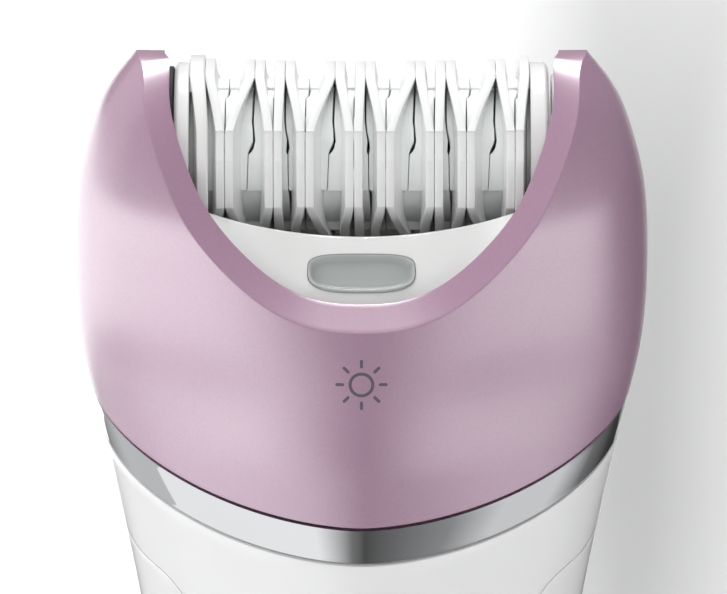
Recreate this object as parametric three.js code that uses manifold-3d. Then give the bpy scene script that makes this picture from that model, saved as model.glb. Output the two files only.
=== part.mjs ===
// Cordless epilator: a tapered handle, a lift-off head with a U-shaped notch, and a tweezer
// barrel that a motor in the handle turns through a gear train. Millimetres, +Z up. The front
// (the side with the light) faces -Y, and the origin is the middle of the flat base.
import * as THREE from 'three';
import { mergeVertices } from 'three/addons/utils/BufferGeometryUtils.js';
import Module from 'manifold-3d';

const wasm = await Module();
wasm.setup();

// ---- Driving dimensions -------------------------------------------------------------------

const AXIS_Z = 163; // height of the barrel's axis, which runs along X
const HORN_TOP = 11.2; // horn tips above the barrel axis
const GAP = 0.3; // clearance between separate pieces
const WALL = 1.8; // handle shell thickness
const COVER_WALL = 2.2; // head cover thickness below its rim
const RIM_WIDTH = 3; // width of the chamfered rim round the notch

// Outer form: height, half width, depth to the front, depth to the back, and the exponent of
// the superellipse section (2 is an ellipse, less is more lens-shaped).
const STATIONS = [
  { z: 0, side: 15.5, front: 11.5, back: 11.5, power: 2.1 },
  { z: 3, side: 16.7, front: 12.6, back: 12.6, power: 2.1 },
  { z: 8, side: 17.6, front: 13.2, back: 13.2, power: 2.1 },
  { z: 25, side: 18.4, front: 13, back: 14, power: 2.1 },
  { z: 50, side: 18.6, front: 12.3, back: 15.3, power: 2.1 },
  { z: 75, side: 19.2, front: 12.8, back: 16, power: 2.05 },
  { z: 95, side: 20.6, front: 14.8, back: 16.2, power: 1.95 },
  { z: 114, side: 23.3, front: 17.6, back: 17.4, power: 1.8 },
  { z: 133, side: 27.2, front: 20, back: 19.4, power: 1.7 },
  { z: 141.4, side: 29.2, front: 20, back: 20, power: 1.7 },
  { z: 147, side: 29.9, front: 20, back: 20, power: 1.8 },
  { z: 153.6, side: 30.05, front: 19.8, back: 19.8, power: 1.9 },
  { z: 159, side: 29.8, front: 19.4, back: 19.4, power: 2 },
  { z: 163, side: 29.1, front: 18.7, back: 18.7, power: 2 },
  { z: 168.2, side: 27.5, front: 17.2, back: 17.2, power: 2 },
  { z: 171, side: 26, front: 15.7, back: 15.7, power: 2 },
  { z: 174.2, side: 23.5, front: 13, back: 13, power: 2 },
];
const COLUMNS = 30; // facets round the handle
const COVER_COLUMNS = 42; // facets round the head cover

// The seam under the head cover is a plane that drops towards the front.
const SEAM_Z = 137.5;
const SEAM_SLOPE = 0.49;
const RING_HEIGHT = 4.3;

// Notch between the horns: its lowest point below the barrel axis, and how full its curve is.
const NOTCH_FRONT = { low: -13.7, power: 3.5, rise: 2.3 };
const NOTCH_BACK = { low: -10, power: 2.2, rise: 1.2 };
const NOTCH_ROUND = 1.5;
const RISE_POWER = 1.5; // the rim's inner edge stands above its outer edge by `rise` at most

// Barrel.
const SPAN_START = -16.3; // inner face of the left flange
const PERIOD = 8.36; // four tweezer discs repeat at this pitch
const PERIODS = 4;
const SPAN_END = SPAN_START + PERIOD * PERIODS;
const TOP_PLANES = [0, 5.2]; // contact planes inside one period, tweezer tips at the top
const FRONT_PLANES = [2.1, 7.15]; // and a quarter turn on, tweezer tips at the front
const DISCS = PERIODS * 4; // the last one also closes the stack's right end
const END_LEAN = 0.35; // how much further the last disc leans out at the top
const DISC_THICKNESS = 0.9;
const DISC_RADIUS = 9.9;
const END_FULLNESS = 0.35; // how much larger the discs grow towards the stack's ends
const DISC_BORE = 7.1;
const DISC_COLUMNS = 24;
const FRONT_ZONE = 5; // degrees above the front at which the front tips close
const CLOSED_HALF_ANGLE = 23;
const CLOSED_GAP = 0.1; // left between two tips that are closed
const OPEN_GAP = 0.5; // left between two tips on the far side
const CORE_RADIUS = 6.8;
const SHAFT_RADIUS = 1.5;
const SHAFT_END = 23.5;
const CAP_RADIUS = 9.7;
const FLANGE_RADIUS = 10.5;
const FLANGE_THICKNESS = 1.2;
const CAP_END = 19.5;
const THRUST_RADIUS = 8.5;

// Gears: module 0.5 all through.
const MODULE = 0.5;
const ADDENDUM = 0.26;
const DEDENDUM = 0.45;
const BARREL_TEETH = 28;
const IDLER_TEETH = 20;
const CROSS_TEETH = 14;
const CROWN_TEETH = 28;
const SPINDLE_TEETH = 14;
const GEAR_X = -21.5; // left face of the spur gears
const GEAR_WIDTH = 1.2;
const pitchRadius = (teeth) => teeth * MODULE / 2;
const IDLER_Z = AXIS_Z - pitchRadius(BARREL_TEETH) - pitchRadius(IDLER_TEETH);
const CROSS_Z = IDLER_Z - pitchRadius(IDLER_TEETH) - pitchRadius(CROSS_TEETH);
const CROSS_RADIUS = 1.2;

// Head carrier.
const ARM_INNER = 21.9;
const ARM_OUTER = 24.1;
const BEARING_RADIUS = 3.2;
const FLOOR_Z = 131.7;
const FLOOR_THICKNESS = 2;

const CARRIER_INSET = 3.3;
const ARM_TRIM = 0.4; // the arms stop this far short of ARM_OUTER
const ARM_HEAD_RADIUS = 5.2;
const WEB_HALF_THICKNESS = 0.9;
const WEB_PLACES = [-18.6, -9];
const IDLER_PIN_RADIUS = 1;
const IDLER_BORE = 1.3;

// Handle contents.
const BASE_TOP = 8; // where the base cap ends and the shells begin
const DECK_Z = 125.5;
const DECK_INSET = 3;
const DECK_THICKNESS = 2;
const SEAL_RADIUS = 5.3;
const CHASSIS_PLATES = [20, 81];
const CHASSIS_THICKNESS = 2;
const CHASSIS_INSET = WALL + 1;
const RAIL_X = 8.6;
const RAIL_HALF_WIDTH = 0.9;
const RAIL_FRONT = -3;
const MOTOR_Z = 84;
const MOTOR_LENGTH = 27;
const MOTOR_RADIUS = 9.7;
const MOTOR_WALL = 1;
const MOTOR_BOSS = { bore: 1.6, radius: 3.2, height: 1.6 };
const ROTOR = { shaft: 1, radius: 8, from: MOTOR_Z + 3, to: MOTOR_Z + 22, bottom: MOTOR_Z - 0.6, top: 121 };
const DOG_TOP = 130.6;
const DOG_HALF_SIZE = 1.9;
const DOG_SLEEVE = { radius: 3.1, from: 115, to: 127.8 };
const DOG_BORE = { radius: 1.25, depth: 121.5 };
const CRADLE = { thickness: 1.1, from: 82, to: 93 };
const CELL_RADIUS = 7;
const CELL_LENGTH = 50;
const CELL_Y = 4.5;
const CELL_Z = 25;
const BOARD = { y: -6, thickness: 1.2, halfWidth: 9, bottom: 24, top: 80 };

// Power button: its dome, rim and flange, as distances from the middle of the handle.
const BUTTON_Z = 70;
const BUTTON_RADIUS = 6;
const BUTTON = {
  middle: -13.3, shoulder: -13.1, edge: -12.5, flange: -9.7, back: -9.2, lip: 0.9, crown: 1.6,
};
const SWITCH = { half: 2.4, front: -8.4 };
const SEAL = { inner: 4, outer: 6.4, front: -8.5, back: -7.9 };
const LENS = { radius: 1.3, drop: 14, front: -12.4, back: -8.6 };
const LED = { halfWidth: 0.8, halfHeight: 0.6, front: -7.8 };

// Head release button and its coil spring.
const RELEASE_Z = 122;
const RELEASE_WIDTH = 12;
const RELEASE_HEIGHT = 6;
const RELEASE = { radius: 2.9, depth: 4.7, sunk: 4.4 };
const RELEASE_FLANGE = { halfWidth: 7, below: 2.6, above: 2.4, sunk: 5.2, end: 3.9 };
const SPRING = { radius: 1.7, wire: 0.3, turns: 3, length: 3.6, sunk: 9.2, sides: 3, steps: 36 };

// Charging inlet.
const INLET_WIDTH = 12;
const INLET_DEPTH = 6.6;
const INLET_CORNER = 2;
const SOCKET = { width: 14.4, depth: 9, corner: 2.6, height: 10.6, pocket: 7.6 };
const SOCKET_SEAT = { width: 15, depth: 9.6, corner: 3, from: 17, height: 6 };
const PIN = { x: 3.5, radius: 0.8, bore: 1.1, from: 10.4, to: 19.6 };

// Housing screws.
const SCREWS = [[-10.4, 30], [10.4, 30], [-10.4, 77], [10.4, 77]];
const SCREW_SEAT_Y = 8.2;
const SCREW = { shank: 1.2, hole: 1.5, head: 2.3, headHole: 2.7, end: 9.8, boss: 3.4, bossDepth: 1.6 };
const SCREW_POST = { radius: 3, from: -1, gap: 2.2 };

// ---- Small tools --------------------------------------------------------------------------

const radians = THREE.MathUtils.degToRad;
const signedPower = (value, power) => Math.sign(value) * Math.abs(value) ** power;

// Smooth curve through the stations, for one of their measures.
function measure(z, key) {
  const last = STATIONS.length - 1;
  const i = Math.min(Math.max(STATIONS.findIndex((s) => s.z >= z), 1), last);
  const slope = (k) => {
    const before = STATIONS[Math.max(k - 1, 0)];
    const after = STATIONS[Math.min(k + 1, last)];
    return (after[key] - before[key]) / (after.z - before.z);
  };
  const from = STATIONS[i - 1];
  const to = STATIONS[i];
  const step = to.z - from.z;
  const t = THREE.MathUtils.clamp((z - from.z) / step, 0, 1);
  const a = from[key];
  const b = to[key];
  const rest = (1 - t) ** 2;
  return a * (1 + 2 * t) * rest + slope(i - 1) * step * t * rest
    + b * t * t * (3 - 2 * t) + slope(i) * step * t * t * (t - 1);
}

// Point of the outer form, moved inwards by inset, at an angle round the Z axis.
function formPoint(angle, z, inset = 0) {
  const bend = 2 / measure(z, 'power');
  const sine = Math.sin(angle);
  const depth = measure(z, sine < 0 ? 'front' : 'back') - inset;
  const side = measure(z, 'side') - inset;
  return new THREE.Vector3(side * signedPower(Math.cos(angle), bend), depth * signedPower(sine, bend), z);
}

function section(z, inset = 0, columns = COLUMNS) {
  return Array.from({ length: columns }, (_, i) => formPoint(i / columns * Math.PI * 2, z, inset));
}

// Closed surface through rings of equal length. Its ends are capped, unless it closes on itself.
function loft(rings, closesOnItself = false) {
  const size = rings[0].length;
  const points = rings.flat();
  const faces = [];
  const spans = closesOnItself ? rings.length : rings.length - 1;
  for (let r = 0; r < spans; r += 1) {
    const here = r * size;
    const next = ((r + 1) % rings.length) * size;
    for (let i = 0; i < size; i += 1) {
      const j = (i + 1) % size;
      faces.push([here + i, here + j, next + j], [here + i, next + j, next + i]);
    }
  }
  if (!closesOnItself) {
    for (const [start, turn] of [[0, 1], [(rings.length - 1) * size, 0]]) {
      const end = points.slice(start, start + size);
      const centre = end.reduce((sum, p) => sum.add(p), new THREE.Vector3()).divideScalar(size);
      points.push(centre);
      for (let i = 0; i < size; i += 1) {
        const j = (i + 1) % size;
        const [from, to] = turn ? [j, i] : [i, j];
        faces.push([points.length - 1, start + from, start + to]);
      }
    }
  }
  const volume = faces.reduce((sum, [a, b, c]) => (
    sum + points[a].dot(new THREE.Vector3().crossVectors(points[b], points[c]))), 0);
  const geometry = new THREE.BufferGeometry().setFromPoints(points);
  geometry.setIndex(faces.flatMap(([a, b, c]) => (volume > 0 ? [a, b, c] : [a, c, b])));
  return geometry;
}

// Geometry to solid and back, for joining and cutting.
function solid(geometry) {
  const bare = geometry.clone();
  bare.deleteAttribute('normal');
  bare.deleteAttribute('uv');
  const merged = mergeVertices(bare, 1e-4);
  return new wasm.Manifold(new wasm.Mesh({
    numProp: 3,
    vertProperties: Float32Array.from(merged.attributes.position.array),
    triVerts: Uint32Array.from(merged.index.array),
  }));
}

function geometryOf(body) {
  const mesh = body.getMesh();
  const geometry = new THREE.BufferGeometry();
  geometry.setAttribute('position', new THREE.BufferAttribute(mesh.vertProperties, 3));
  geometry.setIndex(new THREE.BufferAttribute(mesh.triVerts, 1));
  return geometry;
}

// Turned part about an axis through `at`. The profile is [radius, distance along] pairs, closed.
function turned(profile, axis, at = [0, 0, 0], segments = 24) {
  const outline = [...profile, profile[0]].map(([r, d]) => new THREE.Vector2(r, d));
  const area = outline.slice(1).reduce((sum, p, i) => sum + outline[i].cross(p), 0);
  const geometry = new THREE.LatheGeometry(area > 0 ? outline : outline.reverse(), segments);
  if (axis === 'x') {
    geometry.rotateZ(-Math.PI / 2);
  }
  if (axis === 'z') {
    geometry.rotateX(Math.PI / 2);
  }
  return geometry.translate(...at);
}

const ring = (inner, outer, from, to) => [[inner, from], [outer, from], [outer, to], [inner, to]];
const rod = (radius, from, to) => [[0, from], [radius, from], [radius, to], [0, to]];

// Outline in the YZ plane, given as [y, z] pairs, pushed along X from x0 to x1.
function slabAlongX(outline, x0, x1) {
  const shape = new THREE.Shape(outline.map(([y, z]) => new THREE.Vector2(y, z)));
  const geometry = new THREE.ExtrudeGeometry(shape, { depth: x1 - x0, bevelEnabled: false });
  geometry.applyMatrix4(new THREE.Matrix4().makeBasis(
    new THREE.Vector3(0, 1, 0), new THREE.Vector3(0, 0, 1), new THREE.Vector3(1, 0, 0)));
  return geometry.translate(x0, 0, 0);
}

function box(x0, x1, y0, y1, z0, z1) {
  return new THREE.BoxGeometry(x1 - x0, y1 - y0, z1 - z0)
    .translate((x0 + x1) / 2, (y0 + y1) / 2, (z0 + z1) / 2);
}

// Rounded rectangle with its middle at the origin.
function roundedOutline(width, height, radius) {
  const shape = new THREE.Shape();
  const x = width / 2 - radius;
  const y = height / 2 - radius;
  shape.absarc(x, y, radius, 0, Math.PI / 2);
  shape.absarc(-x, y, radius, Math.PI / 2, Math.PI);
  shape.absarc(-x, -y, radius, Math.PI, Math.PI * 1.5);
  shape.absarc(x, -y, radius, Math.PI * 1.5, Math.PI * 2);
  return shape;
}

const pushed = (shape, depth, curveSegments = 4) => (
  new THREE.ExtrudeGeometry(shape, { depth, bevelEnabled: false, curveSegments }));

// Toothed wheel in the XY plane. A tooth points along `phase`, in radians.
function gearOutline(teeth, phase = 0) {
  const pitch = Math.PI * 2 / teeth;
  const tip = pitchRadius(teeth) + ADDENDUM;
  const root = pitchRadius(teeth) - DEDENDUM;
  const flank = [[root, -0.26], [tip, -0.12], [tip, 0.12], [root, 0.26]];
  const points = [];
  for (let i = 0; i < teeth; i += 1) {
    for (const [radius, offset] of flank) {
      const angle = phase + (i + offset) * pitch;
      points.push(new THREE.Vector2(radius * Math.cos(angle), radius * Math.sin(angle)));
    }
  }
  return new THREE.Shape(points);
}

// Spur gear that turns about X, with phase 0 pointing down, and its left face at x.
function spurGear(teeth, phase, bore, x, z) {
  const shape = gearOutline(teeth, phase);
  shape.holes.push(new THREE.Path().absarc(0, 0, bore, 0, Math.PI * 2, true));
  return pushed(shape, GEAR_WIDTH, 8).rotateY(Math.PI / 2).translate(x, 0, z);
}

// ---- Outer form of the handle -------------------------------------------------------------

const SHELL_LEVELS = [BASE_TOP + GAP / 2, 30, 60, 85, 105, 120, 133, 144];
const REACH = 40; // further out than any part

// Parting line between the front and the rear shell, seen from the side as [y, z].
const PARTING = new THREE.SplineCurve([
  [30, 143], [20, 136.5], [0, 123.2], [-9.8, 118.4], [-11.4, 107], [-8.6, 86], [-5, 60], [-4, 30], [-4, -5],
].map(([y, z]) => new THREE.Vector2(y, z)));

function belowSeam(drop) {
  const edge = (y) => [y, SEAM_Z - drop + SEAM_SLOPE * y];
  return solid(slabAlongX([[-REACH, -1], [REACH, -1], edge(REACH), edge(-REACH)], -REACH, REACH));
}

function handleWall() {
  const outer = solid(loft(SHELL_LEVELS.map((z) => section(z))));
  const inner = solid(loft([0, ...SHELL_LEVELS.slice(1, -1), 150].map((z) => section(z, WALL))));
  return outer.subtract(inner).intersect(belowSeam(RING_HEIGHT + GAP / 2));
}

function behindParting(shift) {
  const line = PARTING.getPoints(12).map((p) => [p.x + shift, p.y - shift]);
  return solid(slabAlongX([...line, [REACH, -5], [REACH, 143]], -REACH, REACH));
}

const along = (profile, x, z) => turned(profile, 'y', [x, 0, z], 12);

function frontShell() {
  const buttonHole = turned(rod(BUTTON_RADIUS + GAP, -REACH, 0), 'y', [0, 0, BUTTON_Z], 24);
  const lensHole = turned(rod(LENS.radius + GAP, -REACH, 0), 'y', [0, 0, BUTTON_Z - LENS.drop], 12);
  return handleWall()
    .subtract(behindParting(-GAP / 2))
    .subtract(solid(buttonHole))
    .subtract(solid(lensHole));
}

function rearShell() {
  let shell = handleWall().intersect(behindParting(GAP / 2));
  const envelope = solid(loft(SHELL_LEVELS.map((z) => section(z, WALL / 2))));
  for (const [x, z] of SCREWS) {
    const bossStart = SCREW_SEAT_Y - SCREW.bossDepth;
    const boss = solid(along(rod(SCREW.boss, bossStart, REACH), x, z)).intersect(envelope);
    shell = shell.add(boss)
      .subtract(solid(along(rod(SCREW.headHole, SCREW_SEAT_Y, REACH), x, z)))
      .subtract(solid(along(rod(SCREW.hole, 0, REACH), x, z)));
  }
  const releaseHole = pushed(roundedOutline(RELEASE_WIDTH + 2 * GAP, RELEASE_HEIGHT + 2 * GAP, 3), REACH)
    .rotateX(-Math.PI / 2).translate(0, 5, RELEASE_Z);
  return shell.subtract(solid(releaseHole));
}

// Mirror-bright ring under the head cover.
function chromeRing() {
  const levels = [118, 126, 134, 147];
  const thickness = 2.4;
  const middle = 132;
  const spread = 0.1; // the inner wall is cut a little longer than the outer one
  const outer = solid(loft(levels.map((z) => section(z))));
  const inner = solid(loft(levels.map((z) => section(z + (z - middle) * spread, thickness))));
  return outer.subtract(inner).intersect(belowSeam(GAP / 2)).subtract(belowSeam(RING_HEIGHT - GAP / 2));
}

function baseCap() {
  const inlet = pushed(roundedOutline(INLET_WIDTH, INLET_DEPTH, INLET_CORNER), 20).translate(0, 0, -5);
  return solid(loft([0, 1.2, 3, 5.5, BASE_TOP - GAP / 2].map((z) => section(z)))).subtract(solid(inlet));
}

// ---- Inside the handle --------------------------------------------------------------------

function chassis() {
  const plate = (z) => solid(loft([z, z + CHASSIS_THICKNESS].map((level) => section(level, CHASSIS_INSET))));
  const [lower, upper] = CHASSIS_PLATES;
  const back = SCREW_SEAT_Y - SCREW_POST.gap;
  let body = plate(lower).add(plate(upper));
  for (const side of [-1, 1]) {
    const x = side * RAIL_X;
    const rail = box(x - RAIL_HALF_WIDTH, x + RAIL_HALF_WIDTH, RAIL_FRONT, back, lower + 1, upper + 1);
    body = body.add(solid(rail));
  }
  for (const [x, z] of SCREWS) {
    body = body.add(solid(along(rod(SCREW_POST.radius, SCREW_POST.from, back), x, z)))
      .subtract(solid(along(rod(SCREW.hole, -5, REACH), x, z)));
  }
  const inner = MOTOR_RADIUS + GAP;
  const cradle = turned(ring(inner, inner + CRADLE.thickness, CRADLE.from, CRADLE.to), 'z', [0, 0, 0], 20);
  const socketSeat = pushed(
    roundedOutline(SOCKET_SEAT.width, SOCKET_SEAT.depth, SOCKET_SEAT.corner), SOCKET_SEAT.height);
  const motorHole = turned(rod(4, 70, 90), 'z');
  return body.add(solid(cradle))
    .subtract(solid(socketSeat.translate(0, 0, SOCKET_SEAT.from)))
    .subtract(solid(motorHole));
}

function topDeck() {
  const plate = solid(loft([DECK_Z, DECK_Z + DECK_THICKNESS].map((z) => section(z, DECK_INSET))));
  const sealHole = turned(rod(SEAL_RADIUS + GAP, 100, 140), 'z');
  const releaseRoom = box(-8, 8, 10, 30, DECK_Z - 1, DECK_Z + 5);
  return plate.subtract(solid(sealHole)).subtract(solid(releaseRoom));
}

function motorCan() {
  const top = MOTOR_Z + MOTOR_LENGTH;
  const bossTop = top + MOTOR_BOSS.height;
  return turned([
    [MOTOR_BOSS.bore, MOTOR_Z], [MOTOR_RADIUS, MOTOR_Z], [MOTOR_RADIUS, top], [MOTOR_BOSS.radius, top],
    [MOTOR_BOSS.radius, bossTop], [MOTOR_BOSS.bore, bossTop], [MOTOR_BOSS.bore, top - MOTOR_WALL],
    [MOTOR_RADIUS - MOTOR_WALL, top - MOTOR_WALL], [MOTOR_RADIUS - MOTOR_WALL, MOTOR_Z + MOTOR_WALL],
    [MOTOR_BOSS.bore, MOTOR_Z + MOTOR_WALL],
  ], 'z', [0, 0, 0], 20);
}

function motorRotor() {
  return turned([
    [0, ROTOR.bottom], [ROTOR.shaft, ROTOR.bottom], [ROTOR.shaft, ROTOR.from], [ROTOR.radius, ROTOR.from],
    [ROTOR.radius, ROTOR.to], [ROTOR.shaft, ROTOR.to], [ROTOR.shaft, ROTOR.top], [0, ROTOR.top],
  ], 'z', [0, 0, 0], 16);
}

// Drive dog: a sleeve on the motor shaft that ends in a four-sided driver.
function motorDog() {
  const half = DOG_HALF_SIZE;
  const sleeve = solid(turned(rod(DOG_SLEEVE.radius, DOG_SLEEVE.from, DOG_SLEEVE.to), 'z', [0, 0, 0], 20));
  const driver = solid(box(-half, half, -half, half, DOG_SLEEVE.to - 0.8, DOG_TOP));
  const bore = solid(turned(rod(DOG_BORE.radius, 100, DOG_BORE.depth), 'z', [0, 0, 0], 16));
  return sleeve.add(driver).subtract(bore);
}

function chargingSocket() {
  const body = pushed(roundedOutline(SOCKET.width, SOCKET.depth, SOCKET.corner), SOCKET.height);
  const pocket = pushed(roundedOutline(INLET_WIDTH, INLET_DEPTH, INLET_CORNER), SOCKET.pocket);
  let socket = solid(body.translate(0, 0, BASE_TOP + GAP)).subtract(solid(pocket.translate(0, 0, BASE_TOP)));
  for (const side of [-1, 1]) {
    socket = socket.subtract(solid(turned(rod(PIN.bore, 5, 25), 'z', [side * PIN.x, 0, 0], 12)));
  }
  return socket;
}

// Coil spring along Z, from 0 to its length.
function coilSpring({ radius, wire, turns, length, sides, steps }) {
  const points = Array.from({ length: steps + 1 }, (_, i) => {
    const angle = i / steps * turns * Math.PI * 2;
    return new THREE.Vector3(radius * Math.cos(angle), radius * Math.sin(angle), length * i / steps);
  });
  const shape = new THREE.Shape().absarc(0, 0, wire, 0, Math.PI * 2);
  return new THREE.ExtrudeGeometry(shape, {
    steps, curveSegments: sides, bevelEnabled: false, extrudePath: new THREE.CatmullRomCurve3(points),
  });
}

// ---- Head ---------------------------------------------------------------------------------

// Height of the rim round the notch. `reach` is 0 at the horns and 1 at the middle.
function rimHeight(reach, notch) {
  return AXIS_Z + notch.low + (HORN_TOP - notch.low) * (1 - reach ** notch.power) ** NOTCH_ROUND;
}

function seamHeight(angle, inset) {
  let z = SEAM_Z;
  for (let i = 0; i < 12; i += 1) {
    z = SEAM_Z + SEAM_SLOPE * formPoint(angle, z, inset).y;
  }
  return z;
}

function headCover() {
  const outerSteps = 8;
  const innerSteps = 4;
  const profiles = [];
  for (let i = 0; i < COVER_COLUMNS; i += 1) {
    const angle = (i + 0.5) / COVER_COLUMNS * Math.PI * 2;
    const reach = Math.abs(Math.sin(angle));
    const notch = Math.sin(angle) < 0 ? NOTCH_FRONT : NOTCH_BACK;
    const top = rimHeight(reach, notch);
    const rimTop = Math.min(top + notch.rise * reach ** RISE_POWER, AXIS_Z + HORN_TOP);
    const bottom = seamHeight(angle, 0) + GAP / 2;
    const innerBottom = seamHeight(angle, COVER_WALL) + GAP / 2;
    const profile = [];
    for (let s = 0; s <= outerSteps; s += 1) {
      profile.push(formPoint(angle, THREE.MathUtils.lerp(bottom, top, s / outerSteps)));
    }
    for (let s = innerSteps; s >= 0; s -= 1) {
      const t = s / innerSteps;
      const inset = COVER_WALL + (RIM_WIDTH - COVER_WALL) * t ** 4;
      const z = THREE.MathUtils.lerp(innerBottom, rimTop, t);
      const point = formPoint(angle, Math.min(z, top), inset);
      profile.push(point.setZ(z));
    }
    profiles.push(profile);
  }
  return loft(profiles, true);
}

// Collar strips beside the barrel: each rises from the cover's rim to a lip near the tweezers.
const COLLAR_HALF_WIDTH = 19.4;
const COLLAR_BOTTOM = AXIS_Z - 15.3;
const LIP_Z = -5.5;
const LIP_RISE = 2.4;
const LIP_HALF_WIDTH = 16.2;
const LIP_Y = 12;
const LIP_WIDTH = { middle: 1.2, end: 0.4 };
const LIP_CURVE = { fall: 6, back: 1.4 }; // how fast the lip drops and recedes past its half width
const NOTCH_HALF_WIDTH = 29.4;
const RIM_CREST = 0.7; // the collar meets the rim this far below its inner edge
const RIM_DROP = 0.4;
const STRIP = { top: 1.9, topDrop: 1.6, foot: 1.8 }; // thickness of the strip, from rim to foot

function coverInnerY(x, z, inset) {
  const power = measure(z, 'power');
  const share = Math.abs(x) / (measure(z, 'side') - inset);
  return (measure(z, 'front') - inset) * (1 - share ** power) ** (1 / power);
}

function collarStrip(direction) {
  const steps = 16;
  const notch = direction < 0 ? NOTCH_FRONT : NOTCH_BACK;
  const rings = [];
  for (let i = 0; i <= steps; i += 1) {
    const x = THREE.MathUtils.lerp(-COLLAR_HALF_WIDTH, COLLAR_HALF_WIDTH, i / steps);
    const spread = (x / LIP_HALF_WIDTH) ** 2;
    const within = Math.min(spread, 1);
    const beyond = Math.max(spread - 1, 0);
    const reach = Math.sqrt(1 - (x / (NOTCH_HALF_WIDTH - RIM_WIDTH)) ** 2);
    const lipZ = AXIS_Z + LIP_Z + LIP_RISE * within - beyond * LIP_CURVE.fall;
    const edgeZ = rimHeight(reach, notch) + (notch.rise - RIM_CREST) * reach ** RISE_POWER;
    const rimZ = Math.min(edgeZ, lipZ) - RIM_DROP;
    const lipY = LIP_Y - within - beyond * LIP_CURVE.back;
    const lipWidth = THREE.MathUtils.lerp(LIP_WIDTH.middle, LIP_WIDTH.end, within);
    const rimY = Math.max(coverInnerY(x, rimZ, RIM_WIDTH + GAP), lipY + 0.2);
    const footY = coverInnerY(x, COLLAR_BOTTOM, RIM_WIDTH + GAP);
    const midY = coverInnerY(x, (rimZ + COLLAR_BOTTOM) / 2, RIM_WIDTH + GAP);
    const profile = [
      [rimY, rimZ], [lipY, lipZ], [lipY - lipWidth, lipZ - 0.5], [rimY - STRIP.top, rimZ - STRIP.topDrop],
      [footY - STRIP.foot, COLLAR_BOTTOM], [footY, COLLAR_BOTTOM], [midY, (rimZ + COLLAR_BOTTOM) / 2],
    ];
    rings.push(profile.map(([y, z]) => new THREE.Vector3(x, direction * y, z)));
  }
  return loft(rings);
}

// Light window: a rounded pane set square to the collar's sloping front.
const WINDOW_WIDTH = 11.2;
const WINDOW_HEIGHT = 4.3;
const WINDOW_MIDDLE = new THREE.Vector3(0, -14.6, AXIS_Z - 8.63);
const WINDOW_LEAN = Math.atan2(5.9, 5);
const WINDOW_CORNER = 1.7;

function windowBlock(grow, from, depth) {
  const outline = roundedOutline(WINDOW_WIDTH + 2 * grow, WINDOW_HEIGHT + 2 * grow, WINDOW_CORNER + grow);
  return pushed(outline, depth)
    .translate(0, 0, from)
    .rotateX(WINDOW_LEAN)
    .translate(WINDOW_MIDDLE.x, WINDOW_MIDDLE.y, WINDOW_MIDDLE.z);
}

function frontCollar() {
  return solid(collarStrip(-1)).subtract(solid(windowBlock(0, -6, 12)));
}

// Carrier: floor, two arms that hold the barrel's bearings, and webs for the cross shaft.
function armOutline() {
  const points = [];
  for (let i = 0; i <= 10; i += 1) {
    const angle = Math.PI * (1 - i / 10);
    points.push([ARM_HEAD_RADIUS * Math.cos(angle), AXIS_Z + ARM_HEAD_RADIUS * Math.sin(angle)]);
  }
  return [...points, [6.5, AXIS_Z - 12], [3.4, AXIS_Z - 20],
    [3, FLOOR_Z + 0.6], [-3, FLOOR_Z + 0.6], [-3.4, AXIS_Z - 20], [-6.5, AXIS_Z - 12]];
}

function headCarrier() {
  const floorTop = FLOOR_Z + FLOOR_THICKNESS;
  let body = solid(loft([FLOOR_Z, floorTop].map((z) => section(z, CARRIER_INSET))));
  body = body.add(solid(slabAlongX(armOutline(), ARM_TRIM - ARM_OUTER, -ARM_INNER)));
  body = body.add(solid(slabAlongX(armOutline(), ARM_INNER, ARM_OUTER - ARM_TRIM)));
  for (const x of WEB_PLACES) {
    const web = [[-4.5, FLOOR_Z + 1], [4.5, FLOOR_Z + 1], [3.4, CROSS_Z + 2.6], [-3.4, CROSS_Z + 2.6]];
    body = body.add(solid(slabAlongX(web, x - WEB_HALF_THICKNESS, x + WEB_HALF_THICKNESS)));
  }
  const bores = [
    turned(rod(BEARING_RADIUS + GAP, -REACH, REACH), 'x', [0, 0, AXIS_Z], 16),
    turned(rod(IDLER_BORE, -REACH, -20), 'x', [0, 0, IDLER_Z], 16),
    turned(rod(CROSS_RADIUS + GAP, -REACH, 0), 'x', [0, 0, CROSS_Z], 16),
    turned(rod(SHAFT_RADIUS + GAP, 100, AXIS_Z), 'z', [0, 0, 0], 16),
  ];
  return bores.reduce((rest, bore) => rest.subtract(solid(bore)), body);
}

// ---- Tweezer barrel -----------------------------------------------------------------------

// 1 where the front tips close, -1 where the top tips close, and the same half a turn on.
function wave(degrees) {
  const swing = Math.cos(radians(2 * (degrees - FRONT_ZONE)));
  return THREE.MathUtils.clamp(swing / Math.cos(radians(2 * CLOSED_HALF_ANGLE)), -1, 1);
}

// Middle of a disc's rim along X. Discs 0, 2, 4... lean left at the top, the others right.
function discMiddle(index, degrees) {
  const start = SPAN_START + PERIOD * Math.floor(index / 4);
  const pair = Math.floor((index % 4) / 2);
  const leansLeft = index % 2 === 0;
  const lean = index === DISCS - 1 ? END_LEAN : 0;
  const nextTop = [TOP_PLANES[1], PERIOD][pair] + lean;
  const top = start + (leansLeft ? TOP_PLANES[pair] : nextTop);
  const front = start + FRONT_PLANES[pair];
  const side = leansLeft ? 1 : -1;
  const farSide = Math.cos(radians(degrees - FRONT_ZONE - 45)) < 0;
  const gap = farSide && leansLeft ? OPEN_GAP - CLOSED_GAP / 2 : CLOSED_GAP / 2;
  const topMiddle = top + side * (DISC_THICKNESS / 2 + gap);
  const frontMiddle = front - side * (DISC_THICKNESS / 2 + gap);
  return THREE.MathUtils.lerp(topMiddle, frontMiddle, (wave(degrees) + 1) / 2);
}

function hubMiddle(index) {
  return (discMiddle(index, FRONT_ZONE) + discMiddle(index, FRONT_ZONE + 90)) / 2;
}

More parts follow.
